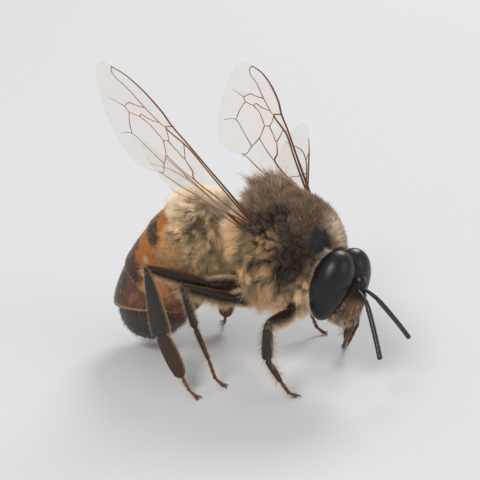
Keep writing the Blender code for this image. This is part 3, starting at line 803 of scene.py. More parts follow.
def grow(skin, name, slot, **inputs):
    """Grow one coat piece over a skin that is still in bee millimetres."""
    global coat_faces
    carrier = show(name + "_maker", skin.data.copy())
    carrier.data.materials.clear()
    inputs = {"Hair": LONG_HAIR, "Finish": HAIR, "Region": 0.0, **inputs}
    coat = run_nodes(carrier, COAT_TREE, COAT_INPUTS, name, inputs)
    for attribute in [item.name for item in coat.data.attributes]:
        if attribute not in COAT_KEEPS and not attribute.startswith("."):
            coat.data.attributes.remove(coat.data.attributes[attribute])
    coat.data.calc_loop_triangles()
    faces = len(coat.data.loop_triangles)
    coat_faces += faces
    print("  %-22s %7d triangles" % (name, faces), "UV maps", [layer.name for layer in coat.data.uv_layers])
    ready(coat, None, slot)


def dress(piece, hair_paint, shell_paint, material, slot, nodes, coat, coat_slot=None, **inputs):
    """Map a bare piece, grow its coat in one paint and leave the piece in another."""
    unwrap(piece)
    write(piece.data, "markings", hair_paint)
    grow(piece, coat, coat_slot or slot, **inputs)
    write(piece.data, "markings", shell_paint)
    ready(piece, material, slot, *nodes)


# %% Coats of head and thorax
unwrap(body_skin)
FINE = 0.0085                             # half a hair's width at its root, in millimetres
FULLNESS = 1.0
for number, (name, place, density, clumps, thickness) in enumerate((
        ("coat_back", ON_BACK, 1240.0, 0.30, FINE * 0.85), ("coat_side_right", ON_RIGHT, 930.0, 0.42, FINE),
        ("coat_side_left", ON_LEFT, 700.0, 0.42, FINE), ("coat_breast", ON_BREAST, 640.0, 0.30, FINE),
        ("coat_shoulders", ON_SHOULDERS, 1080.0, 0.30, FINE * 0.85))):
    grow(body_skin, name, "coat", Region=place, Density=density * FULLNESS, Spread=0.14, Thickness=thickness,
         Clump_Size=clumps, Seed=11 + number)
write(body_skin.data, "coat_length", field.values["length"] * np.where(places[:, 2] > 1.2, 1.35, 1.1))
write(body_skin.data, "coat_region", np.where(region == ON_HEAD, ON_HEAD, ON_BACK))     # all but the head
grow(body_skin, "coat_long_hairs", "coat", Density=55.0 * FULLNESS, Thickness=0.0150, Spread=0.26, Clump_Size=0.30,
     Seed=31)
field.store(body_skin.data, region)
grow(body_skin, "coat_head", "face_hair", Region=ON_HEAD, Density=900.0 * FULLNESS, Thickness=0.0065,
     Spread=0.14, Clump_Size=0.18, Seed=17)
write(body_skin.data, "markings", field.values["colour"] * 0.35)
ready(body_skin, SKIN, "coat", "thorax", "head", "waist")
print("the fleece has", coat_faces, "triangles")

# %% [markdown]
# ## Compound eyes and ocelli
# A drone's eyes are huge and meet on top of the head.  Each is a tall tilted egg, pressed flat
# where it meets its twin, and set into the skin.  Thousands of tiny lenses are too small to
# model, so a cell pattern in the bump gives them: it only breaks up the soft highlight.  The
# three simple eyes, the ocelli, are small glossy domes on the brow.

# %% Eyes
EYE_HALF = np.array((0.96, 1.09, 1.79))
EYE_MIDDLE, EYE_TILT, EYE_SEAM = np.array((-0.10, 0.86, -0.05)), math.radians(7), 0.06
EYE_TAPER = 0.13                          # wider towards the top
SIDES = (("right", -1), ("left", 1))


def eye_material():
    paint = Paint("compound eye", Specular_IOR_Level=0.42)
    haze = paint.noise(Vector=paint.place, Scale=1.4, Detail=2.0)()
    paint.set(Roughness=haze.fit(0.16, 0.27), Base_Color=paint.node(
        "ShaderNodeVectorMath", {"operation": "SCALE"}, _0=(0.0052, 0.0048, 0.0056), Scale=haze.fit(0.5, 0.75))())
    lenses = paint.cells(Vector=paint.place, Scale=32.0, Randomness=0.4)("Distance")
    paint.bump(lenses * -1.0, 0.005, 0.5)
    return paint.material


def make_eye(side, sign, material, count=56):
    lean, middle = rotation(EYE_TILT * sign, "X"), EYE_MIDDLE * (1, sign, 1)
    rings = []
    for polar in np.pi * np.arange(count + 1) / count:
        wide = math.sin(polar) * (1 - EYE_TAPER * math.cos(polar))
        ring = oval(EYE_HALF[0] * wide, EYE_HALF[1] * wide, -EYE_HALF[2] * math.cos(polar), angles(72))
        ring = ring @ lean.T + middle
        ring[:, 1] = np.where(ring[:, 1] * sign < EYE_SEAM, EYE_SEAM * sign, ring[:, 1])
        rings.append(on_head(ring))
    eye = Clay()
    eye.loft(rings[1:-1], rings[0].mean(axis=0), rings[-1].mean(axis=0))
    ready(eye.piece("compound_eye_" + side), material, "eye", "eye_" + side)


eye = eye_material()
for side, sign in SIDES:
    make_eye(side, sign, eye)
ocelli = Clay()
for spot in ((1.02, 0.0, 0.34), (0.95, -0.27, 0.58), (0.95, 0.27, 0.58)):
    dome(ocelli, on_head(spot), (0.10, 0.10, 0.10), markings=(0.02, 0.012, 0.008))
ready(ocelli.piece("ocelli"), shell_material("ocellus", 0.12, coat=0.8, depth=0.001), "eye")
print("eyes at", [round(v, 2) for v in on_head(EYE_MIDDLE)])

# %% [markdown]
# ## Feelers and mouth parts
# A drone's feeler has a short shaft, a small pivot and eleven ring-like joints.  The joints
# show as faint waists, so the tube's radius dips at each of them.  Below the face hang the
# small jaws and the long folded tongue sheath, brown and lit through at their edges.

# %% Feelers
FEELERS = {"right": ((4.30, -0.30, -1.30), (5.02, -0.62, -1.66), (6.52, -1.66, -3.90)),
           "left": ((4.32, 0.20, -1.36), (4.98, 0.36, -1.74), (5.86, 2.20, -4.22))}
FEELER_JOINTS = 11
MATTE_BLACK = tone(30, 28, 28)
FEELER_SHELL = shell_material("feeler shell", 0.36, coat=0.15, blotch=0.3, pore=0.03, depth=0.005, contrast=0.3)


def make_feeler(side):
    base, elbow, tip = np.array(FEELERS[side])
    lean, sag = unit(tip - elbow), np.array((0.10, 0.0, 0.10))
    path = smooth_rows((base - unit(elbow - base) * 0.12, base, (base + elbow) / 2 + (0, 0, 0.03), elbow), 16)
    radii = smooth_rows(((0.085,), (0.085,), (0.095,), (0.11,)), 16)[:, 0]
    shaft = Clay()
    shaft.loft(tube_rings(path, radii, sides=14), path[0], path[-1], markings=MATTE_BLACK)
    ready(shaft.piece("feeler_shaft_" + side), FEELER_SHELL, "feeler", "scape_" + side)
    share = np.linspace(0, 1, FEELER_JOINTS * 8 + 1)
    path = elbow + np.outer(share, tip - lean * 0.04 - elbow) + np.outer(share * (1 - share) * 1.2, sag)
    within = (share * FEELER_JOINTS) % 1.0
    radii = 0.125 * (1 - 0.10 * bell(np.minimum(within, 1 - within), 0, 0.09))
    radii *= 0.80 + 0.20 * step_between(0, 0.12, share)
    radii *= np.sqrt(np.clip(1 - (np.clip(share - 0.965, 0, 1) / 0.036) ** 2, 0.05, 1))
    whip = Clay()
    whip.loft(tube_rings(path, radii, sides=16), path[0], path[-1] + lean * 0.01, markings=MATTE_BLACK)
    ready(whip.piece("feeler_whip_" + side), FEELER_SHELL, "feeler", "flagellum_" + side)


for side in FEELERS:
    make_feeler(side)
print("feelers have", FEELER_JOINTS, "joints each")

# %% Mouth parts
JAW_TOP, JAW_TIP = np.array((4.05, 0.30, -2.75)), np.array((3.52, 0.28, -4.50))
JAW_SHELL = shell_material("mouth part shell", 0.3, coat=0.3, blotch=0.2, pore=0.04, depth=0.004)
DARK_BROWN, AMBER_EDGE, RUST = tone(30, 20, 16), tone(112, 60, 24), tone(50, 26, 14)


def tint_row(*stops):
    """Colours along a joint, from (share, colour) stops."""
    shares, colours = [stop[0] for stop in stops], np.array([stop[1] for stop in stops])
    return lambda at: np.stack([np.interp(at, shares, colours[:, i]) for i in range(3)], axis=-1)


def make_mouth_part(side, sign, rows=30, sides=14):
    inward = np.array((1, sign * (1.0 if side == "right" else 0.55), 1))
    top, tip = JAW_TOP * inward, JAW_TIP * inward
    bend = smooth_rows((top + (-0.05, 0, 0.1), top + (tip - top) * 0.3 + (0.13, 0, 0),
                        top + (tip - top) * 0.6 + (0.07, 0, 0), tip), rows)
    down, turn = np.linspace(0, 1, rows), angles(sides)
    ahead = unit(np.gradient(bend, axis=0))
    broad = unit(np.cross(ahead, (0, 1.0, 0)))
    width = np.interp(down, (0, 0.12, 0.38, 0.46, 0.7, 0.92, 1), (0.11, 0.14, 0.12, 0.09, 0.11, 0.08, 0.03))
    width = width * (1 + 0.08 * np.sin(down * 40))
    rings = (bend[:, None] + (width[:, None] * np.cos(turn))[..., None] * broad[:, None]
             + (width[:, None] * 0.55 * np.sin(turn))[..., None] * np.array((0, 1.0, 0)))
    colours = tint_row((0, DARK_BROWN), (0.25, DARK_BROWN), (0.36, AMBER_EDGE * 0.8), (0.44, RUST),
                       (0.7, AMBER_EDGE), (1, RUST))(down)
    # The amber rim is painted light shining through the thin edges
    rim = np.abs(np.cos(turn))[:, None] ** 6
    spots = np.clip(mottle(rings, 0.22, 77), 0, 1)[..., None]
    mouth = Clay()
    mouth.loft(rings, bend[0], bend[-1], coat_length=0.28, coat_lift=0.75, coat_bend=0.2, coat_clump=0.0,
               coat_region=0.0, coat_lie=np.broadcast_to(ahead[:, None], rings.shape),
               coat_density=np.where(np.cos(turn) < 0, 1.0, 0.15) * (down[:, None] > 0.3),
               markings=(colours[:, None] * (1 - 0.5 * rim) + AMBER_EDGE * 0.5 * rim) * (0.55 + 0.9 * spots))
    jaw = mouth.piece("mouth_part_" + side)
    dress(jaw, RUFF, mouth.numbers["markings"], JAW_SHELL, "jaw", ["mandible_" + side], "coat_mouth_" + side,
          Density=70.0 * FULLNESS, Thickness=0.006, Spread=0.25, Clump_Size=0.3, Seed=61, Hair=SHORT_HAIR)


for side, sign in SIDES:
    make_mouth_part(side, sign)
print("mouth parts hang", round(float(JAW_TOP[2] - JAW_TIP[2]), 2), "mm down")

# %% [markdown]
# ## Abdomen
# The abdomen is armour: six rings, each a large back plate that laps over a belly plate at
# the sides, and over the ring behind it like roof tiles.  Each plate here is a thin closed
# shell that flares a little towards its rear rim.  Orange at the front, dark at the rear, the
# plates carry the stripes, and the first two rings wear a cream fleece.

# %% Shape of the abdomen
ABDOMEN_FRONT = np.array((-3.70, -0.34, 1.37))
ABDOMEN_YAW = math.radians(20)
ABDOMEN_LENGTH, ABDOMEN_START, ABDOMEN_CURL = 8.95, math.radians(40), math.radians(35)
ABDOMEN_WIDTH, ABDOMEN_THICKNESS = 5.8, 4.8
ABDOMEN_SQUARE, ABDOMEN_ROUND = 3.2, 2.2
PLATE_ENDS = (0.02, 0.18, 0.37, 0.595, 0.77, 0.90, 1.0)
PLATE_SIZES = {1: 0.925, 2: 0.945, 3: 0.952, 4: 0.938, 5: 0.845, 6: 0.835}
BACKWARD = np.array((-math.cos(ABDOMEN_YAW), -math.sin(ABDOMEN_YAW), 0.0))
RIGHTWARD = np.array((math.sin(ABDOMEN_YAW), -math.cos(ABDOMEN_YAW), 0.0))
UPWARD = np.array((0.0, 0.0, 1.0))


def abdomen_point(share, angle, factor):
    """Places at shares along the abdomen and angles round it (90 degrees is the back)."""
    share, angle, factor = np.broadcast_arrays(share, np.radians(angle), factor)
    slope = ABDOMEN_START + ABDOMEN_CURL * share
    radius = ABDOMEN_LENGTH / ABDOMEN_CURL
    centre = (ABDOMEN_FRONT + (radius * (np.sin(slope) - math.sin(ABDOMEN_START)))[..., None] * BACKWARD
              + (radius * (np.cos(slope) - math.cos(ABDOMEN_START)))[..., None] * UPWARD)
    dorsal = np.sin(slope)[..., None] * BACKWARD + np.cos(slope)[..., None] * UPWARD
    swell = np.clip(1 - np.abs(2 * share - 1) ** ABDOMEN_SQUARE, 0.0004, 1) ** (1 / ABDOMEN_ROUND) * factor
    return (centre + (ABDOMEN_WIDTH / 2 * swell * np.cos(angle))[..., None] * RIGHTWARD
            + (ABDOMEN_THICKNESS / 2 * swell * np.sin(angle))[..., None] * dorsal)


def abdomen_side(angle):
    """0 on the back, 90 at the sides, 180 below."""
    return np.abs(((angle + 90) % 360) - 180)


def plate_ends(number, angle):
    """Where a plate starts and ends; the fourth one's rear edge runs lower on the back."""
    skew = 0.715 + 0.135 * np.sin(np.radians(angle))
    first = skew if number == 5 else PLATE_ENDS[number - 1] + 0 * skew
    last = skew if number == 4 else PLATE_ENDS[number] + 0 * skew
    return first, np.maximum(last, first + 0.05)


def bare_patch(share, side):
    """The thin coat beside the middle of the first ring, where the shell shows through."""
    return np.exp(-(((share - 0.020) / 0.018) ** 2 + ((side - 52) / 22) ** 2))


print("the abdomen ends at", [round(float(v), 2) for v in abdomen_point(1.0, 0.0, 1.0)], "in bee millimetres")

# %% Stripes of the abdomen
AMBER, LIGHT_ORANGE, PINK_TAN = tone(168, 100, 36), tone(200, 146, 96), tone(188, 130, 94)
BROWN_SIDE, BAND, CHARCOAL = tone(88, 58, 40), tone(58, 42, 32), tone(60, 55, 51)
STERNITE, PALE_RIM, FUZZ = tone(150, 88, 54), tone(176, 136, 92), tone(212, 170, 124)
CREAM, PALE_CREAM = tone(226, 196, 152), tone(244, 226, 200) * 1.2
BANDS = {3: BAND * 1.5, 4: CHARCOAL * 0.65, 5: CHARCOAL * 1.15, 6: CHARCOAL}


def abdomen_paint(share, angle, number):
    """Shell colour of each point, from its place along and round the abdomen."""
    side = abdomen_side(angle)
    place = abdomen_point(share, angle, 1.0)
    wave, ripple = mottle(place, 2.2, 5), mottle(place, 0.55, 6)
    first, last = plate_ends(number, angle)
    within = (share - first) / (last - first)
    colour = np.tile(AMBER * (0.85 if number == 3 else 1.0), share.shape + (1,))

    def over(mask, target):
        nonlocal colour
        colour = colour * (1 - mask[..., None]) + target * mask[..., None]

    over(step_between(*((66, 92) if number == 3 else (48, 78)), side + 8 * wave),
         PINK_TAN * 1.5 if number == 3 else LIGHT_ORANGE * 1.05)
    if number == 4:
        over(step_between(28, 50, side + 6 * wave), BROWN_SIDE * 1.1)
        over(0.6 * step_between(0.1, 0.9, mottle(place, 0.8, 12)) * step_between(30, 60, side), tone(112, 84, 74))
    over(step_between(112, 140, side), STERNITE if number > 2 else LIGHT_ORANGE * 0.8)
    if number == 1:
        over(np.ones_like(share), tone(96, 72, 60))
        over(bare_patch(share, side), tone(142, 116, 112))
    reach = {1: 2.0, 2: 0.60, 3: 0.60, 4: 0.10}.get(number, -1.0) + 0.05 * ripple + 0.05 * wave
    if number == 3:                       # the dark band widens over the back
        reach = reach - 0.26 * (1 - step_between(25, 50, side))
    falls = {2: 62, 3: 72, 4: 54}.get(number, 400) + 4 * ripple
    over(step_between(reach - 0.07, reach + 0.09, within) * (1 - step_between(falls - 8, falls + 10, side)),
         BANDS.get(number, BAND))
    if number == 3:
        over(np.exp(-(((share - 0.575) / 0.020) ** 2 + ((side - 68) / 8) ** 2)), tone(34, 36, 50))
        # A painted highlight: a pale spot on the third ring
        over(0.5 * np.exp(-(((share - 0.445) / 0.016) ** 2 + ((side - 62) / 6) ** 2)), tone(196, 186, 172))
    if number >= 5:
        over(0.45 * step_between(0.1, 0.9, ripple), tone(74, 66, 60))
        over(step_between(125, 150, side) * 0.9, tone(88, 48, 32))
    else:
        strength, light = (0.75, 0.8) if number == 4 else (0.25, 0.5)
        over(step_between(0.90, 0.955, within) * strength, PALE_RIM * light)
    return colour * np.clip(1 + 0.12 * wave + 0.12 * ripple, 0.6, 1.4)[..., None]


print("rings", list(BANDS), "have bands of their own colour")

# %% Hair of the abdomen
WHORL = 0.14                              # where the hair of the first rings parts


def abdomen_hair(share, angle, number):
    """Hair values of each point: length, density, lift, bend, clump, lie and colour."""
    side = abdomen_side(angle)
    whorl = abdomen_point(np.full_like(share, WHORL), np.where(np.cos(np.radians(angle)) > 0, 0.0, 180.0), 1.0)
    here = abdomen_point(share, angle, 1.0)
    wave, ripple = mottle(here, 1.3, 8), mottle(here, 0.45, 9)
    ahead = unit(abdomen_point(np.minimum(share + 0.02, 0.985), angle, 1.0)
                 - abdomen_point(share - 0.02, angle, 1.0))
    below = step_between(95, 125, side)
    edge = share + 0.05 * step_between(0, 80, 90 - side) - 0.05 * below + 0.018 * wave + 0.012 * ripple
    fleece = 1 - step_between(0.215, 0.275, edge)
    # How much hair the sides, the belly and the back of each ring have
    fuzz, low_hair, back_hair = {1: (0.0, 0.6, 0.0), 2: (0.75, 0.9, 0.04), 3: (0.22, 0.75, 0.03),
                                 4: (0.14, 0.42, 0.05), 5: (0.16, 0.22, 0.12), 6: (0.20, 0.22, 0.2)}[number]
    values = {"length": 0.19 + 0.36 * fleece + 0.08 * below, "lift": 0.30 + 0.10 * fleece,
              "bend": 0.15 + 0.25 * fleece, "clump": 0.15 + 0.42 * fleece * step_between(20, 75, side)}
    centre = bell(np.linalg.norm(here - whorl, axis=-1), 0, 0.22)
    covered = fleece * (1 - 0.4 * centre) * (1 - 0.25 * step_between(0.3, 1, -ripple))
    sparse = fuzz * step_between(52, 88, side + 6 * ripple) * (1 - below) + low_hair * below
    values["density"] = np.maximum(covered, np.maximum(sparse, back_hair)) * (1 - 0.85 * bare_patch(share, side))
    mix = (fleece * (1 - step_between(0.2, 0.32, share)))[..., None]
    swirl = 0.35 * np.stack([mottle(here, 0.9, seed) for seed in (21, 22, 23)], axis=-1)
    values["lie"] = unit(ahead * (1 - 0.2 * mix) + unit(here - whorl) * 0.2 * mix + swirl * 1.4 * fleece[..., None])
    top = (fleece * (1 - step_between(25, 75, side)))[..., None]
    colour = (CREAM * (1 - top) + PALE_CREAM * top) * fleece[..., None] + FUZZ * (1 - fleece[..., None])
    # Darker near the whorl: partly dark hair, partly painted shade where the hair parts
    shade = np.linalg.norm((here - whorl) / 0.55, axis=-1) + 0.5 * ripple
    grey = fleece * step_between(0.35, 1.0, wave + 0.6 * ripple) * step_between(60, 90, side)
    for strength, mask in ((0.40, (1 - step_between(0.3, 1.1, shade)) * fleece), (0.30, grey),
                           (0.45, below * (number > 2))):
        colour = colour * (1 - strength * mask)[..., None]
    if number >= 5:
        colour = np.broadcast_to(tone(90, 76, 64), colour.shape)
        values["length"] = values["length"] * 1.25
        values["lift"] = values["lift"] + 0.20
    values["colour"] = colour * np.clip(1 + 0.15 * ripple, 0.6, 1.4)[..., None]
    return values


print("the hair parts at", WHORL, "of the way along the abdomen")

# %% [markdown]
# ## Making the plates
# Each plate is a grid of points over its stretch of the abdomen, doubled by a second layer
# just inside, and closed along its four edges.  A core of soft dark skin fills the inside, so
# that no gap shows between plates.

# %% One plate
PLATE_DEPTH = 0.022                       # a plate's thickness, as a share of the abdomen's half width


def plate_factor(within, number, tuck):
    """How far a plate stands out along its length: tucked in front, flared at the rear."""
    flare = {4: 0.058, 5: 0.012, 6: 0.012}.get(number, 0.032)
    return (PLATE_SIZES[number] - tuck + flare * within ** 2 - 0.05 * (1 - step_between(0.0, 0.25, within))
            - (0.002 if number == 4 else 0.010) * step_between(0.96, 1.0, within))


def make_plate(clay, number, low_angle, high_angle, tuck, rows=44, columns=110):
    across = np.linspace(0, 1, columns)
    along = (1 - np.linspace(1, 0, rows) ** 1.3)[:, None] * np.ones((1, columns))
    angle = (low_angle + (high_angle - low_angle) * across)[None, :] * np.ones((rows, 1))
    first, last = plate_ends(number, angle)
    start = np.maximum(first - 0.035, 0.0001)
    share = start + (np.minimum(last + 0.004, 0.995) - start) * along
    roll = 0.02 * (1 - step_between(0, 9, np.minimum(across, 1 - across) * (high_angle - low_angle)))
    dent = 0.004 * mottle(abdomen_point(share, angle, 1.0), 1.6, 30 + number)
    factor = plate_factor(along, number, tuck) - roll + dent
    if number > 4:                        # the last rings are full below and shrunken above
        factor = factor + 0.075 * step_between(80, 150, abdomen_side(angle))
    hair = abdomen_hair(share, angle, number)
    if number == 6:
        hair["density"] = hair["density"] * (share < 0.985)
    numbers = {"coat_" + key: hair[key] for key in ("length", "density", "lift", "bend", "clump", "lie")}
    numbers.update(markings=abdomen_paint(share, angle, number), hair_colour=hair["colour"],
                   coat_region=np.zeros_like(share))
    count = rows * columns
    grid = np.arange(count).reshape(rows, columns)
    a, b, c, d = grid[:-1, :-1], grid[:-1, 1:], grid[1:, 1:], grid[1:, :-1]
    faces = np.stack([a, b, c, d, count + a, count + d, count + c, count + b], axis=-1).reshape(-1, 4).tolist()
    rim = [*grid[0], *grid[1:, -1], *grid[-1, -2::-1], *grid[-2:0:-1, 0]]
    faces += [(a, count + a, count + b, b) for a, b in zip(rim, rim[1:] + rim[:1])]
    both = {key: np.concatenate([value.reshape(count, *value.shape[2:])] * 2) for key, value in numbers.items()}
    both["coat_density"][count:] = 0
    layers = [abdomen_point(share, angle, factor - depth).reshape(-1, 3) for depth in (0, PLATE_DEPTH)]
    clay.add(np.concatenate(layers), faces, both)


print("plates are about", round(PLATE_DEPTH * ABDOMEN_WIDTH / 2, 3), "mm thick")

# %% All plates, and the core
for number, density in enumerate((750.0, 820.0, 420.0, 320.0, 170.0, 170.0), 1):
    clay = Clay()
    make_plate(clay, number, -48.0, 228.0, 0.0)
    make_plate(clay, number, 218.0, 322.0, PLATE_DEPTH, columns=48)
    plates = clay.piece("abdomen_plates_%d" % number)
    dress(plates, clay.numbers["hair_colour"], clay.numbers["markings"], SHELL, "abdomen_plate",
          ["abdomen_%d" % number], "coat_abdomen_%d" % number, Density=density * FULLNESS,
          Thickness=0.0085 if number < 3 else 0.0065, Spread=0.18, Clump_Size=0.28, Seed=20 + number)

core = Clay()
core_share = np.linspace(0.03, 0.985, 40)[:, None]
core_size = np.interp(core_share, (0, 0.60, 0.76, 1), (0.88, 0.88, 0.78, 0.76))
core.loft(abdomen_point(core_share, np.degrees(angles(48)), core_size), abdomen_point(0.02, 0.0, 0.0),
          abdomen_point(0.992, 0.0, 0.0), markings=tone(46, 32, 26))
ready(core.piece("abdomen_core"), SHELL, "abdomen_plate")
print("hair so far:", coat_faces, "triangles")

# %% [markdown]
# ## Legs
# Each leg is a chain of hollow tubes: coxa and femur near the body, the shin or tibia, a long
# first foot joint, then four small joints and a pair of claws.  Flat, broad joints on the
# hind legs are typical for a drone.  Every joint is a loft with its own profile of breadth and
# thickness, and pale fringes of hair grow along the edges.

# %% Leg sizes
# Hip, trochanter, knee, ankle, heel and foot of each leg
LEGS = {
    "front_right": ((1.11, -0.9, -2.35), (1.32, -1.6, -2.75), (1.25, -3.4, -2.75),
                    (1.36, -3.6, -4.58), (2.13, -3.5, -5.55), (2.22, -2.75, FLOOR)),
    "front_left": ((1.11, 0.9, -2.35), (1.32, 1.6, -2.75), (1.45, 3.3, -2.75),
                   (1.60, 3.40, -4.60), (1.20, 3.55, -5.75), (0.95, 3.95, FLOOR)),
    "middle_right": ((-1.0, -1.3, -2.6), (-1.75, -2.1, -2.6), (-3.67, -3.95, -1.83),
                     (-2.68, -4.15, -3.75), (-1.93, -4.05, -5.30), (-1.55, -3.85, FLOOR)),
    "middle_left": ((-1.0, 1.3, -2.6), (-1.75, 2.1, -2.6), (-3.0, 4.1, -1.85),
                    (-2.35, 4.6, -3.95), (-1.85, 4.75, -5.50), (-1.45, 4.95, FLOOR)),
    "hind_right": ((-2.1, -1.2, -2.2), (-3.0, -2.6, -2.0), (-5.10, -5.00, -0.85),
                   (-3.79, -5.42, -4.00), (-2.38, -5.55, -5.85), (-1.80, -5.55, FLOOR)),
    "hind_left": ((-2.2, 1.1, -2.2), (-3.3, 2.3, -2.1), (-5.70, 4.1, -1.1),
                  (-5.98, 2.55, -4.05), (-5.90, 2.25, -5.95), (-6.35, 2.70, FLOOR)),
}
LEG_FACING = {"right": (0.15, -1.0, 0.1), "left": (-0.4, 1.0, 0.1)}
# Share along, breadth and thickness of each joint; the hind leg's are broad and flat
COXA = ((0, .5, .5), (.3, .62, .58), (.75, .52, .48), (1, .38, .36))
PROFILES = {
    "front": (((0, .40, .38), (.15, .50, .46), (.45, .54, .50), (.8, .42, .40), (.96, .34, .32), (1, .24, .24)),
              ((0, .26, .24), (.08, .38, .34), (.35, .52, .44), (.8, .56, .46), (.96, .46, .38), (1, .26, .22)),
              ((0, .20, .18), (.08, .30, .26), (.5, .32, .26), (.92, .24, .22), (1, .16, .14))),
    "middle": (((0, .38, .34), (.12, .44, .38), (.4, .50, .42), (.8, .40, .34), (.96, .32, .28), (1, .24, .22)),
               ((0, .22, .20), (.08, .30, .24), (.4, .38, .28), (.85, .44, .28), (.97, .34, .24), (1, .20, .16)),
               ((0, .16, .14), (.08, .26, .2), (.5, .28, .2), (.92, .20, .17), (1, .14, .12))),
    "hind": (((0, .40, .36), (.12, .48, .40), (.45, .56, .44), (.8, .44, .36), (.96, .34, .30), (1, .26, .24)),
             ((0, .26, .22), (.06, .36, .26), (.3, .72, .26), (.6, 1.02, .24), (.86, 1.22, .22), (.95, 1.18, .20),
              (.99, .90, .16), (1, .62, .12)),
             ((0, .54, .14), (.05, .82, .20), (.3, .95, .22), (.65, .94, .22), (.90, .72, .18), (.98, .38, .14),
              (1, .22, .12))),
}
SMALL_JOINT = ((0, .08, .08), (.2, .14, .13), (.75, .20, .17), (.95, .17, .15), (1, .08, .08))
LAST_JOINT = ((0, .07, .07), (.15, .11, .11), (.6, .16, .15), (.95, .20, .17), (1, .1, .1))
# Length of the hair below the femur, its density on the lower leg, and its length there
LEG_HAIR = {"front": (0.42, 0.22, 0.62), "middle": (0.78, 0.40, 0.32), "hind": (0.45, 0.45, 0.10)}
print("joints of a hind leg:", len(PROFILES["hind"]), "large ones and 4 small ones, besides the coxa")

# %% Colours of the legs
LEG_DARK, LEG_GREY, LEG_BROWN, LEG_ORANGE = tone(36, 27, 22), tone(44, 39, 35), tone(70, 42, 27), tone(134, 76, 40)
GLOW_GOLD, FRINGE = tone(168, 118, 68), tone(248, 218, 174) * 0.85
DARK_TINT = tint_row((0, LEG_DARK), (1, LEG_DARK * 1.1))
GREY_TINT = tint_row((0, LEG_DARK * 1.3), (0.2, LEG_GREY), (0.9, LEG_GREY * 0.9), (1, LEG_DARK))
FADE_TINT = tint_row((0, LEG_GREY * 0.9), (0.6, LEG_BROWN * 0.8), (1, LEG_BROWN))
FAR_TINT = tint_row((0, tone(92, 56, 30)), (1, tone(124, 74, 38)))
TOE_TINT = tint_row((0, LEG_BROWN * 1.1), (1, LEG_ORANGE))


print("the foot is lighter than the knee by", np.round(TOE_TINT(1.0) - DARK_TINT(1.0), 3))


# %% One joint of a leg
def add_joint(clay, start, end, profile, facing, tint, fringe, hair_length, one_sided=False, sides=22, edge_glow=0.0,
              lift=0.45):
    """One lofted joint of a leg, with its colours and its fringe of hair."""
    rings = limb_rings(start, end, profile, facing, sides)
    rows, along, edge = np.linspace(0, 1, len(rings)), unit(end - start), np.cos(angles(sides))
    # Golden edges and joint ends are painted light shining through the thin shell
    painted_glow = edge_glow * np.maximum(np.abs(edge) ** 16, step_between(0.955, 0.99, rows)[:, None])[..., None]
    fringed = np.abs(edge) ** 4
    if one_sided:                         # only the edge that faces down
        fringed = np.clip(edge * -np.sign(np.cross(along, facing)[2]), 0, 1) ** 1.5
    clay.loft(rings, rings[0].mean(0), rings[-1].mean(0),
              markings=tint(rows)[:, None] * (1 - painted_glow) + GLOW_GOLD * painted_glow,
              coat_density=(0.05 + fringe * fringed) * step_between(0.14, 0.26, rings[..., 2] - FLOOR),
              coat_length=hair_length * (0.55 + 0.45 * fringed) * np.ones((len(rings), 1)), coat_lift=lift,
              coat_bend=0.25, coat_clump=0.08, coat_region=0.0, coat_lie=along,
              hair_colour=(FRINGE * fringed[:, None] + tone(96, 74, 56) * (1 - fringed[:, None])) + 0 * rings)


print("a joint has", LIMB_ROWS, "rings")


# %% Feet and claws
def foot_joints(clay, heel, foot):
    """Four small joints from the heel to the foot."""
    level = unit((foot - heel) * (1, 1, 0))
    side = np.cross(level, (0, 0, 1.0))
    ball = np.array((*foot[:2], FLOOR + 0.17))
    marks = [heel + (ball - heel) * share for share in (0.0, 0.30, 0.55, 0.78)]
    marks.append(ball + level * 0.30 + (0, 0, -0.05))
    for number, (start, end) in enumerate(zip(marks, marks[1:])):
        add_joint(clay, start, end + (end - start) * 0.04, LAST_JOINT if number == 3 else SMALL_JOINT, side,
                  TOE_TINT, 0.4, 0.14, sides=12)
    return marks[-1], level, side


def make_claws(name, tip, level, side):
    """Two forked claws and the soft pad between them."""
    clay = Clay()

    def claw(steps, count, thickness, sides, clear):
        path = smooth_rows(steps, count)
        path[:, 2] = np.maximum(path[:, 2], FLOOR + clear)
        clay.loft(tube_rings(path, np.linspace(*thickness, count), sides, (0, 0, 1)), path[0], path[-1],
                  markings=tone(50, 28, 16))
        return path

    for sign in (-1, 1):
        outer = claw([tip + level * ahead + side * sign * out + (0, 0, up) for ahead, out, up in (
            (0, 0, 0), (0.08, 0.10, 0.03), (0.17, 0.17, -0.02), (0.21, 0.19, -0.09))], 12, (0.045, 0.012), 8, 0.022)
        claw([outer[6] + level * ahead - side * sign * out + (0, 0, up) for ahead, out, up in (
            (0, 0, 0), (0.05, 0.02, -0.03), (0.07, 0.03, -0.07))], 6, (0.03, 0.01), 6, 0.018)
    pad = tip + level * 0.07 + (0, 0, -0.02)
    dome(clay, pad, (0.09, 0.09, 0.06), count=8, sides=12, markings=tone(120, 88, 60))
    ready(clay.piece("claws_" + name), LEG_SHELL, "foot", "leg_" + name + "_tarsus")


print("the soles stand at", FLOOR, "mm")

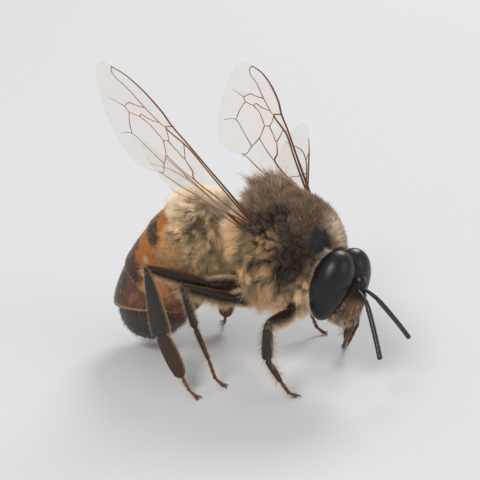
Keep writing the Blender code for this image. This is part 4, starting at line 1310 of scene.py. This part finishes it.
# %% Build the legs
for name, joints in LEGS.items():
    pair, side = name.split("_")
    hip, trochanter, knee, ankle, heel, foot = np.array(joints)
    facing = np.array(LEG_FACING[side])
    femur, tibia, basitarsus = PROFILES[pair]
    below, fringe, bristle = LEG_HAIR[pair]
    hind = pair == "hind"
    clay = Clay()
    add_joint(clay, hip, trochanter, COXA, facing, DARK_TINT, 0.95, 0.50)
    add_joint(clay, trochanter, knee, femur, facing, DARK_TINT, 1.5, below, True, edge_glow=0.35, lift=0.80)
    add_joint(clay, knee, ankle, tibia, facing, GREY_TINT, fringe, bristle, edge_glow=0.9 if hind else 0.3, lift=0.60)
    add_joint(clay, ankle, heel, basitarsus, facing, FAR_TINT if name == "hind_left" else FADE_TINT, fringe, bristle,
              edge_glow=0.8 if hind else 0.2, lift=0.60)
    tip, level, across = foot_joints(clay, heel, foot)
    leg = clay.piece("leg_%s_shell" % name)
    dress(leg, clay.numbers["hair_colour"], clay.numbers["markings"], LEG_SHELL, "leg",
          ["leg_%s_%s" % (name, part) for part in ("coxa", "femur", "tibia", "basitarsus")], "coat_leg_" + name,
          Density=620.0 * FULLNESS, Thickness=0.0065, Spread=0.2, Clump_Size=0.3, Seed=40 + len(name))
    make_claws(name, tip, level, across)
print("hair so far:", coat_faces, "triangles")

# %% [markdown]
# ## Wings
# A wing is a clear film held out by a net of veins.  The film is a thin closed sheet over the
# wing's outline; the veins are tapering tubes that follow lists of joints, given as shares of
# the wing's length along and across it.  A curve with a radius at each point, turned into
# tubes by Geometry Nodes, is the natural way to make such a net.

# %% Outline and veins
# Root, direction towards the tip and direction across each wing
WINGS = {
    "forewing_right": ((-0.36, -2.40, 1.68), (-0.690, -0.222, 0.683), (-0.720, 0.10, -0.690)),
    "forewing_left": ((-0.25, 2.40, 1.60), (-0.727, 0.416, 0.545), (-0.657, -0.534, -0.535)),
    "hindwing_right": ((-0.95, -2.25, 1.15), (-0.845, -0.08, 0.53), (-0.50, 0.45, -0.74)),
    "hindwing_left": ((-0.85, 2.48, 0.98), (-0.500, 0.737, 0.470), (-0.786, -0.239, -0.572)),
}
WING_LENGTH = {"forewing": 10.85, "hindwing": 7.5}
WING_EDGES = {   # (along, across) of the leading edge and of the trailing edge, root to tip
    "forewing": (((0, -.010), (.28, -.027), (.45, -.045), (.62, -.064), (.76, -.067), (.87, -.052), (.947, -.026),
                  (.985, -.008), (1.003, .014), (1.008, .030)),
                 ((0, .012), (.06, .045), (.25, .135), (.36, .172), (.455, .205), (.525, .258), (.61, .290),
                  (.73, .260), (.85, .195), (.947, .118), (.985, .082), (1.003, .052), (1.008, .034))),
    "hindwing": (((0, -.02), (.30, -.035), (.62, -.045), (.86, -.020), (.97, .03), (.99, .08)),
                 ((0, .02), (.06, .075), (.24, .225), (.44, .285), (.66, .285), (.86, .225), (.96, .15), (.99, .09))),
}
print("each forewing is", WING_LENGTH["forewing"], "mm long and each hindwing", WING_LENGTH["hindwing"], "mm")

# %% The net of veins
VEIN_SIZES = {"right": 1.3, "left": 1.65}
VEIN_STEPS = 6                            # points of a vein from joint to joint
# The joints' places, then each vein's thickness at both ends and the joints it passes
VEIN_JOINTS = {"forewing": """tip 1 0, costa_end .947 -.021, c1 .869 -.052, c2 .76 -.067, c3 .641 -.065,
    stigma .56 -.051, c4 .45 -.045, c5 .28 -.028, c6 .094 -.012, loop .931 -.001, r1 .893 .004, r2 .819 -.005,
    A .713 -.004, B .616 -.008, C .58 -.014, A1 .741 .02, A2 .784 .049, D .789 .084, Dend .882 .125, E .757 .087,
    F .707 .058, F2 .707 .041, F1 .659 .021, G0 .649 .045, G1 .589 .047, G .554 .051, H .535 .029, Hc .543 .013,
    H1 .478 .029, I .425 .028, J .474 -.027, K0 .364 .05, K .319 .078, L .501 .1, L1 .408 .092, M1 .484 .152,
    N1 .583 .159, N .686 .17, Nend .728 .225, E1 .725 .134, cua .458 .191, an0 .476 .213, an1 .424 .191,
    an2 .358 .172, base_c .012 -.006, base_r .02 .004, base_m .03 .018, base_a .04 .034, r_low .1 0,
    r_mid .28 -.014, r_high .42 -.03, m_low .14 .04, a_low .12 .075, a_mid .24 .128""",
               "hindwing": """root_c .01 -.012, c1 .2 -.03, c2 .4 -.038, c3 .6 -.04, c4 .75 -.03, root_r .02 0,
    r1 .2 -.012, r2 .385 -.02, r3 .525 -.012, r4 .66 .03, r5 .78 .12, r6 .879 .2, x1 .4 .055, root_m .03 .02,
    m1 .15 .025, m2 .282 .048, m3 .45 .149, m4 .588 .25, m5 .672 .278, root_a .04 .04, a1 .15 .11, a2 .28 .19,
    a3 .36 .24"""}
VEINS = {"forewing": """.048 .026 base_c c6 c5 c4 stigma c3 c2 c1 costa_end, .042 .026 base_r r_low r_mid r_high J C
    stigma, .018 .018 costa_end loop r1 r2 A B C, .020 .018 A A1 A2 D, .018 .006 D Dend, .018 .018 D E F F2 F1 B,
    .019 .018 F G0 G1 G, .018 .018 C Hc H G, .021 .020 H H1 I J, .036 .022 base_m m_low K K0 I, .020 .019 G L M1,
    .019 .019 L L1 K, .019 .012 M1 N1 N Nend, .018 .018 E E1 N, .019 .015 M1 cua an0,
    .030 .015 base_a a_low a_mid an2 an1 an0""",
         "hindwing": """.040 .018 root_c c1 c2 c3 c4, .034 .010 root_r r1 r2 r3 r4 r5 r6,
    .030 .009 root_m m1 m2 m3 m4 m5, .016 .016 m3 x1 r2, .022 .009 root_a a1 a2 a3, .018 .016 r3 c3"""}


def wing_place(name, along, across, lift=0.0):
    """Places on a wing: a gentle camber with shallow pleats towards the root."""
    root, span, chord = np.array(WINGS[name])
    length, span = WING_LENGTH[name.split("_")[0]], unit(span)
    chord = unit(chord - span * (chord @ span))
    pleat = 0.05 * np.sin(across * 75) * np.exp(-(along / 0.55) ** 2) * (1 - np.exp(-(along / 0.12) ** 2))
    camber = 0.10 * np.sin(np.clip(along, 0, 1) * np.pi) * np.cos(across * 6)
    height = np.clip(pleat + camber, -0.2, 0.2) + lift
    return (root + (along * length)[..., None] * span + (across * length)[..., None] * chord
            + height[..., None] * np.cross(span, chord))


print("veins of a forewing:", len(VEINS["forewing"].split(",")))


# %% Tubes through Geometry Nodes
def vein_tree():
    """Curves into tubes as thick as the curve's own radius."""
    web, given, keys = new_web(
        "vein tubes", "GeometryNodeTree",
        (("Veins", "Geometry", None), ("Sides", "Int", 8), ("Finish", "Material", None)), (("Tubes", "Geometry"),))
    ring = web.node("GeometryNodeCurvePrimitiveCircle", Resolution=given("Sides"), Radius=1.0)()
    radius = web.node("GeometryNodeInputRadius")()
    tube = web.node("GeometryNodeCurveToMesh", Curve=web.store(given("Veins"), "thick", radius, "FLOAT", "POINT"),
                    Profile_Curve=ring, Fill_Caps=True, Scale=radius)()
    whole = web.node("GeometryNodeRealizeInstances", Geometry=tube)()
    web.node("NodeGroupOutput", Tubes=web.node(
        "GeometryNodeSetMaterial", Geometry=whole, Material=given("Finish"))())
    return web.tree, keys


VEIN_TREE, VEIN_INPUTS = vein_tree()
print("the vein tree has", len(VEIN_TREE.nodes), "nodes")


# %% Materials of veins and film
def vein_material():
    """Amber, and darker where a vein is thick or near the root."""
    paint = Paint("wing vein", Roughness=0.45, Specular_IOR_Level=0.18)
    masks = paint.grain(0.8, 0.05)
    flat = (paint.place - (-0.4, 0.0, 1.4)).then("MULTIPLY", (1.0, 0.0, 1.0))
    colour = paint.mix(masks("Blotch"), tone(138, 86, 26), tone(190, 130, 48))
    for value, reach, strength, dark in ((paint.read("thick"), (0.024, 0.050), (0.0, 0.85), tone(92, 48, 20)),
                                         (flat.then("LENGTH"), (0.4, 4.5), (0.75, 0.0), tone(72, 34, 18))):
        share = paint.node("ShaderNodeMapRange", Value=value, From_Min=reach[0], From_Max=reach[1],
                           To_Min=strength[0], To_Max=strength[1])()
        colour = paint.mix(share, colour, dark)
    paint.set(Base_Color=colour)
    paint.bump(masks("Height"), 0.003)
    return paint.material


def film_material():
    """The wing's clear film: mostly see-through, a little milky, with a fine nap."""
    paint = Paint("wing film", Roughness=0.28)
    masks = paint.grain(1.2, 0.05)
    paint.set(Base_Color=paint.mix(masks("Blotch"), tone(226, 214, 196), tone(214, 196, 176)),
              Alpha=masks("Blotch").fit(0.10, 0.08))
    paint.bump(masks("Height"), 0.006)
    return paint.material


VEIN, FILM = vein_material(), film_material()
print("made", VEIN.name, "and", FILM.name)


# %% Making the wings
def make_veins(name):
    kind, side = name.split("_")
    table = [entry.split() for entry in VEIN_JOINTS[kind].split(",")]
    points = {joint: (float(along), float(across)) for joint, along, across in table}
    curve = bpy.data.curves.new("veins_" + name, "CURVE")
    curve.dimensions = "3D"
    for first, last, *names in (entry.split() for entry in VEINS[kind].split(",")):
        count = (len(names) - 1) * VEIN_STEPS + 1
        line = smooth_rows([points[joint] for joint in names], count)
        spline = curve.splines.new("POLY")
        spline.points.add(count - 1)
        uneven = 0.9 + 0.1 * np.cos(np.linspace(0, 3 * np.pi, count))
        radii = np.linspace(float(first), float(last), count) * uneven
        spots = np.column_stack([wing_place(name, *line.T), np.ones(count)])
        spline.points.foreach_set("co", spots.astype(np.float32).ravel())
        spline.points.foreach_set("radius", (radii * VEIN_SIZES[side]).astype(np.float32))
    tubes = run_nodes(show("vein_maker", curve), VEIN_TREE, VEIN_INPUTS, "veins_" + name,
                      {"Sides": 8, "Finish": VEIN})
    ready(tubes, None, "wing")


def make_film(name, rows=90, columns=26, half=0.007):
    """A closed sheet over the outline, twice the half thickness thick."""
    lead, trail = (smooth_rows(edge, 200) for edge in WING_EDGES[name.split("_")[0]])
    along = min(lead[-1, 0], trail[-1, 0]) * np.sin(np.linspace(0, np.pi / 2, rows))
    front, rear = (np.interp(along, edge[:, 0], edge[:, 1])[:, None] for edge in (lead, trail))
    across = front + (rear - front) * np.linspace(0, 1, columns)
    below, above = (wing_place(name, along[:, None] + 0 * across, across, lift) for lift in (-half, half))
    clay = Clay()
    clay.loft(np.concatenate([below, above[:, ::-1]], axis=1))
    ready(clay.piece("film_" + name), FILM, "wing", name)


for name in WINGS:
    make_film(name)
    make_veins(name)
print("made the wings", list(WINGS))

# %% Wing roots
ROOT_SHELL = shell_material("wing root shell", 0.38, coat=0.2, blotch=0.15, pore=0.04, depth=0.012, contrast=0.5)
CAP_SHIFT = np.array((0.15, 0.13, -0.15))
# Place, half size and turn of the lumps of each piece, for the left side
LUMPS = {"wing_cap_": (((0.02, 0, -0.04), (0.30, 0.15, 0.15), 25), ((0.20, 0.02, 0.04), (0.16, 0.10, 0.08), -20)),
         "wing_root_": (((-0.22, 0.0, 0.05), (0.20, 0.09, 0.08), 40), ((-0.42, -0.02, -0.14), (0.20, 0.09, 0.09), 55),
                        ((-0.66, -0.04, -0.36), (0.20, 0.08, 0.07), 35), ((-0.04, 0.02, 0.15), (0.15, 0.07, 0.06), 10),
                        ((-0.30, 0.0, -0.32), (0.16, 0.08, 0.07), -30), ((-0.10, 0.02, -0.24), (0.15, 0.08, 0.06), 70))}


def make_root(label, side, sign):
    cap, mirror = label == "wing_cap_", np.array((1, sign, 1))
    middle = np.array(WINGS["forewing_" + side][0]) + (CAP_SHIFT * mirror if cap else 0)
    knobs = Clay()
    for shift, half, turned in LUMPS[label]:
        blob = Clay()
        dome(blob, (0, 0, 0), half)
        spun = blob.points[0] @ rotation(math.radians(turned), "Y").T
        knobs.add(spun + middle + shift * mirror, blob.faces, {})
    part = remeshed(knobs.piece("rough_" + label + side), label + side, voxel=0.024, rounds=2)
    spots, outwards = read_points(part.data)
    crumple = mottle(spots, 0.20, 41) * 0.024 + mottle(spots, 0.09, 42) * 0.010
    part.data.vertices.foreach_set("co", (spots + outwards * crumple[:, None]).astype(np.float32).ravel())
    for key, value in (("density", 1.0), ("length", 0.22), ("lift", 0.7), ("bend", 0.2), ("clump", 0.3),
                       ("region", 0.0), ("lie", (-0.6, 0.0, 0.5))):
        write(part.data, "coat_" + key, value)
    dress(part, GREY_BROWN, tone(62, 38, 26) * np.clip(1 + 0.6 * mottle(spots, 0.3, 43), 0.35, 2.2)[:, None],
          ROOT_SHELL, "shell" if cap else "wing", ["tegula_" + side] if cap else [], "coat_" + label + side, "shell",
          Density=220.0 * FULLNESS, Thickness=0.006, Spread=0.3, Clump_Size=0.2, Seed=71)


for side, sign in SIDES:
    for label in LUMPS:
        make_root(label, side, sign)
for template in (LONG_HAIR, SHORT_HAIR):  # the templates have done their work
    bpy.data.objects.remove(template)
print("all hair:", coat_faces, "triangles")

# %% [markdown]
# ## Floor, light and camera
# The bee stands on a plain pale floor under a broad, soft light.  A long lens stands a few
# centimetres away, in front of the bee's right side and a little above it.

# %% Floor
FLOOR_RADIUS = 3.0                        # metres
floor = Clay()
disc = oval(1, 1, 0, angles(64)) * FLOOR_RADIUS / MM
floor.loft([disc + (0, 0, FLOOR - 1.0), disc + (0, 0, FLOOR)])
floor_piece = floor.piece("floor")
paint = Paint("floor paper", Roughness=0.8, Specular_IOR_Level=0.2)
paint.set(Base_Color=paint.mix(paint.grain(40.0, 0.4)("Grain"), (0.668, 0.670, 0.682), (0.688, 0.690, 0.700)))
settle(floor_piece, paint.material)
floor_piece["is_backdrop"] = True
print("the floor is", 2 * FLOOR_RADIUS, "m across")

# %% Light and camera
AZIMUTH, ELEVATION = math.radians(38), math.radians(18)
BACK = Vector((math.sin(AZIMUTH) * math.cos(ELEVATION), -math.cos(AZIMUTH) * math.cos(ELEVATION),
               math.sin(ELEVATION)))
ACROSS, UP = Vector((math.cos(AZIMUTH), math.sin(AZIMUTH), 0.0)), Vector((0, 0, 1))
AIM = (HEART - 2.45 * ACROSS + 0.3 * BACK.cross(ACROSS)) * MM
CAMERA_DISTANCE, LAMP_DISTANCE = 60 * MM, 0.60


def aim_from(thing, direction, distance):
    """Stand a light or the camera off the bee, facing it."""
    direction = direction.normalized()
    thing.location = AIM + direction * distance
    thing.rotation_mode = "QUATERNION"
    thing.rotation_quaternion = direction.to_track_quat("Z", "Y")


world = bpy.data.worlds.new("soft sky")
bpy.context.scene.world = world
world.use_nodes = True
world.node_tree.nodes["Background"].inputs["Color"].default_value = (0.97, 0.98, 1.0, 1)
world.node_tree.nodes["Background"].inputs["Strength"].default_value = 0.50
for name, direction, size, power, colour in (
        ("key", BACK * 0.9 - ACROSS * 0.55 + UP * 0.75, 0.22, 1.75, (1.0, 0.985, 0.96)),
        ("fill", BACK * 0.5 + ACROSS * 1.0 + UP * 0.35, 0.30, 0.40, (0.96, 0.98, 1.0)),
        ("back", -BACK * 0.8 + UP * 1.0 + ACROSS * 0.3, 0.25, 1.5, (1, 1, 1))):
    lamp = bpy.data.lights.new(name, "AREA")
    lamp.shape, lamp.size, lamp.energy, lamp.color = "DISK", size, power, colour
    aim_from(show(name, lamp), direction, LAMP_DISTANCE)

lens = bpy.data.cameras.new("camera")
lens.lens, lens.sensor_width, lens.clip_start, lens.clip_end = 90, 36, 0.002, 10.0
camera = show("camera", lens)
aim_from(camera, BACK, CAMERA_DISTANCE)
bpy.context.scene.camera = camera
bpy.context.scene.view_settings.view_transform = "Standard"
print("camera stands", round(camera.location.z * 1000, 1), "mm over the floor")

# %% Finish
low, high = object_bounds()
for label, corner, solid in (("low", low, cad_low), ("high", high, cad_high)):
    print(label, "corner off the solids by", [round((a - b) * 1000, 2) for a, b in zip(corner, solid)], "mm")
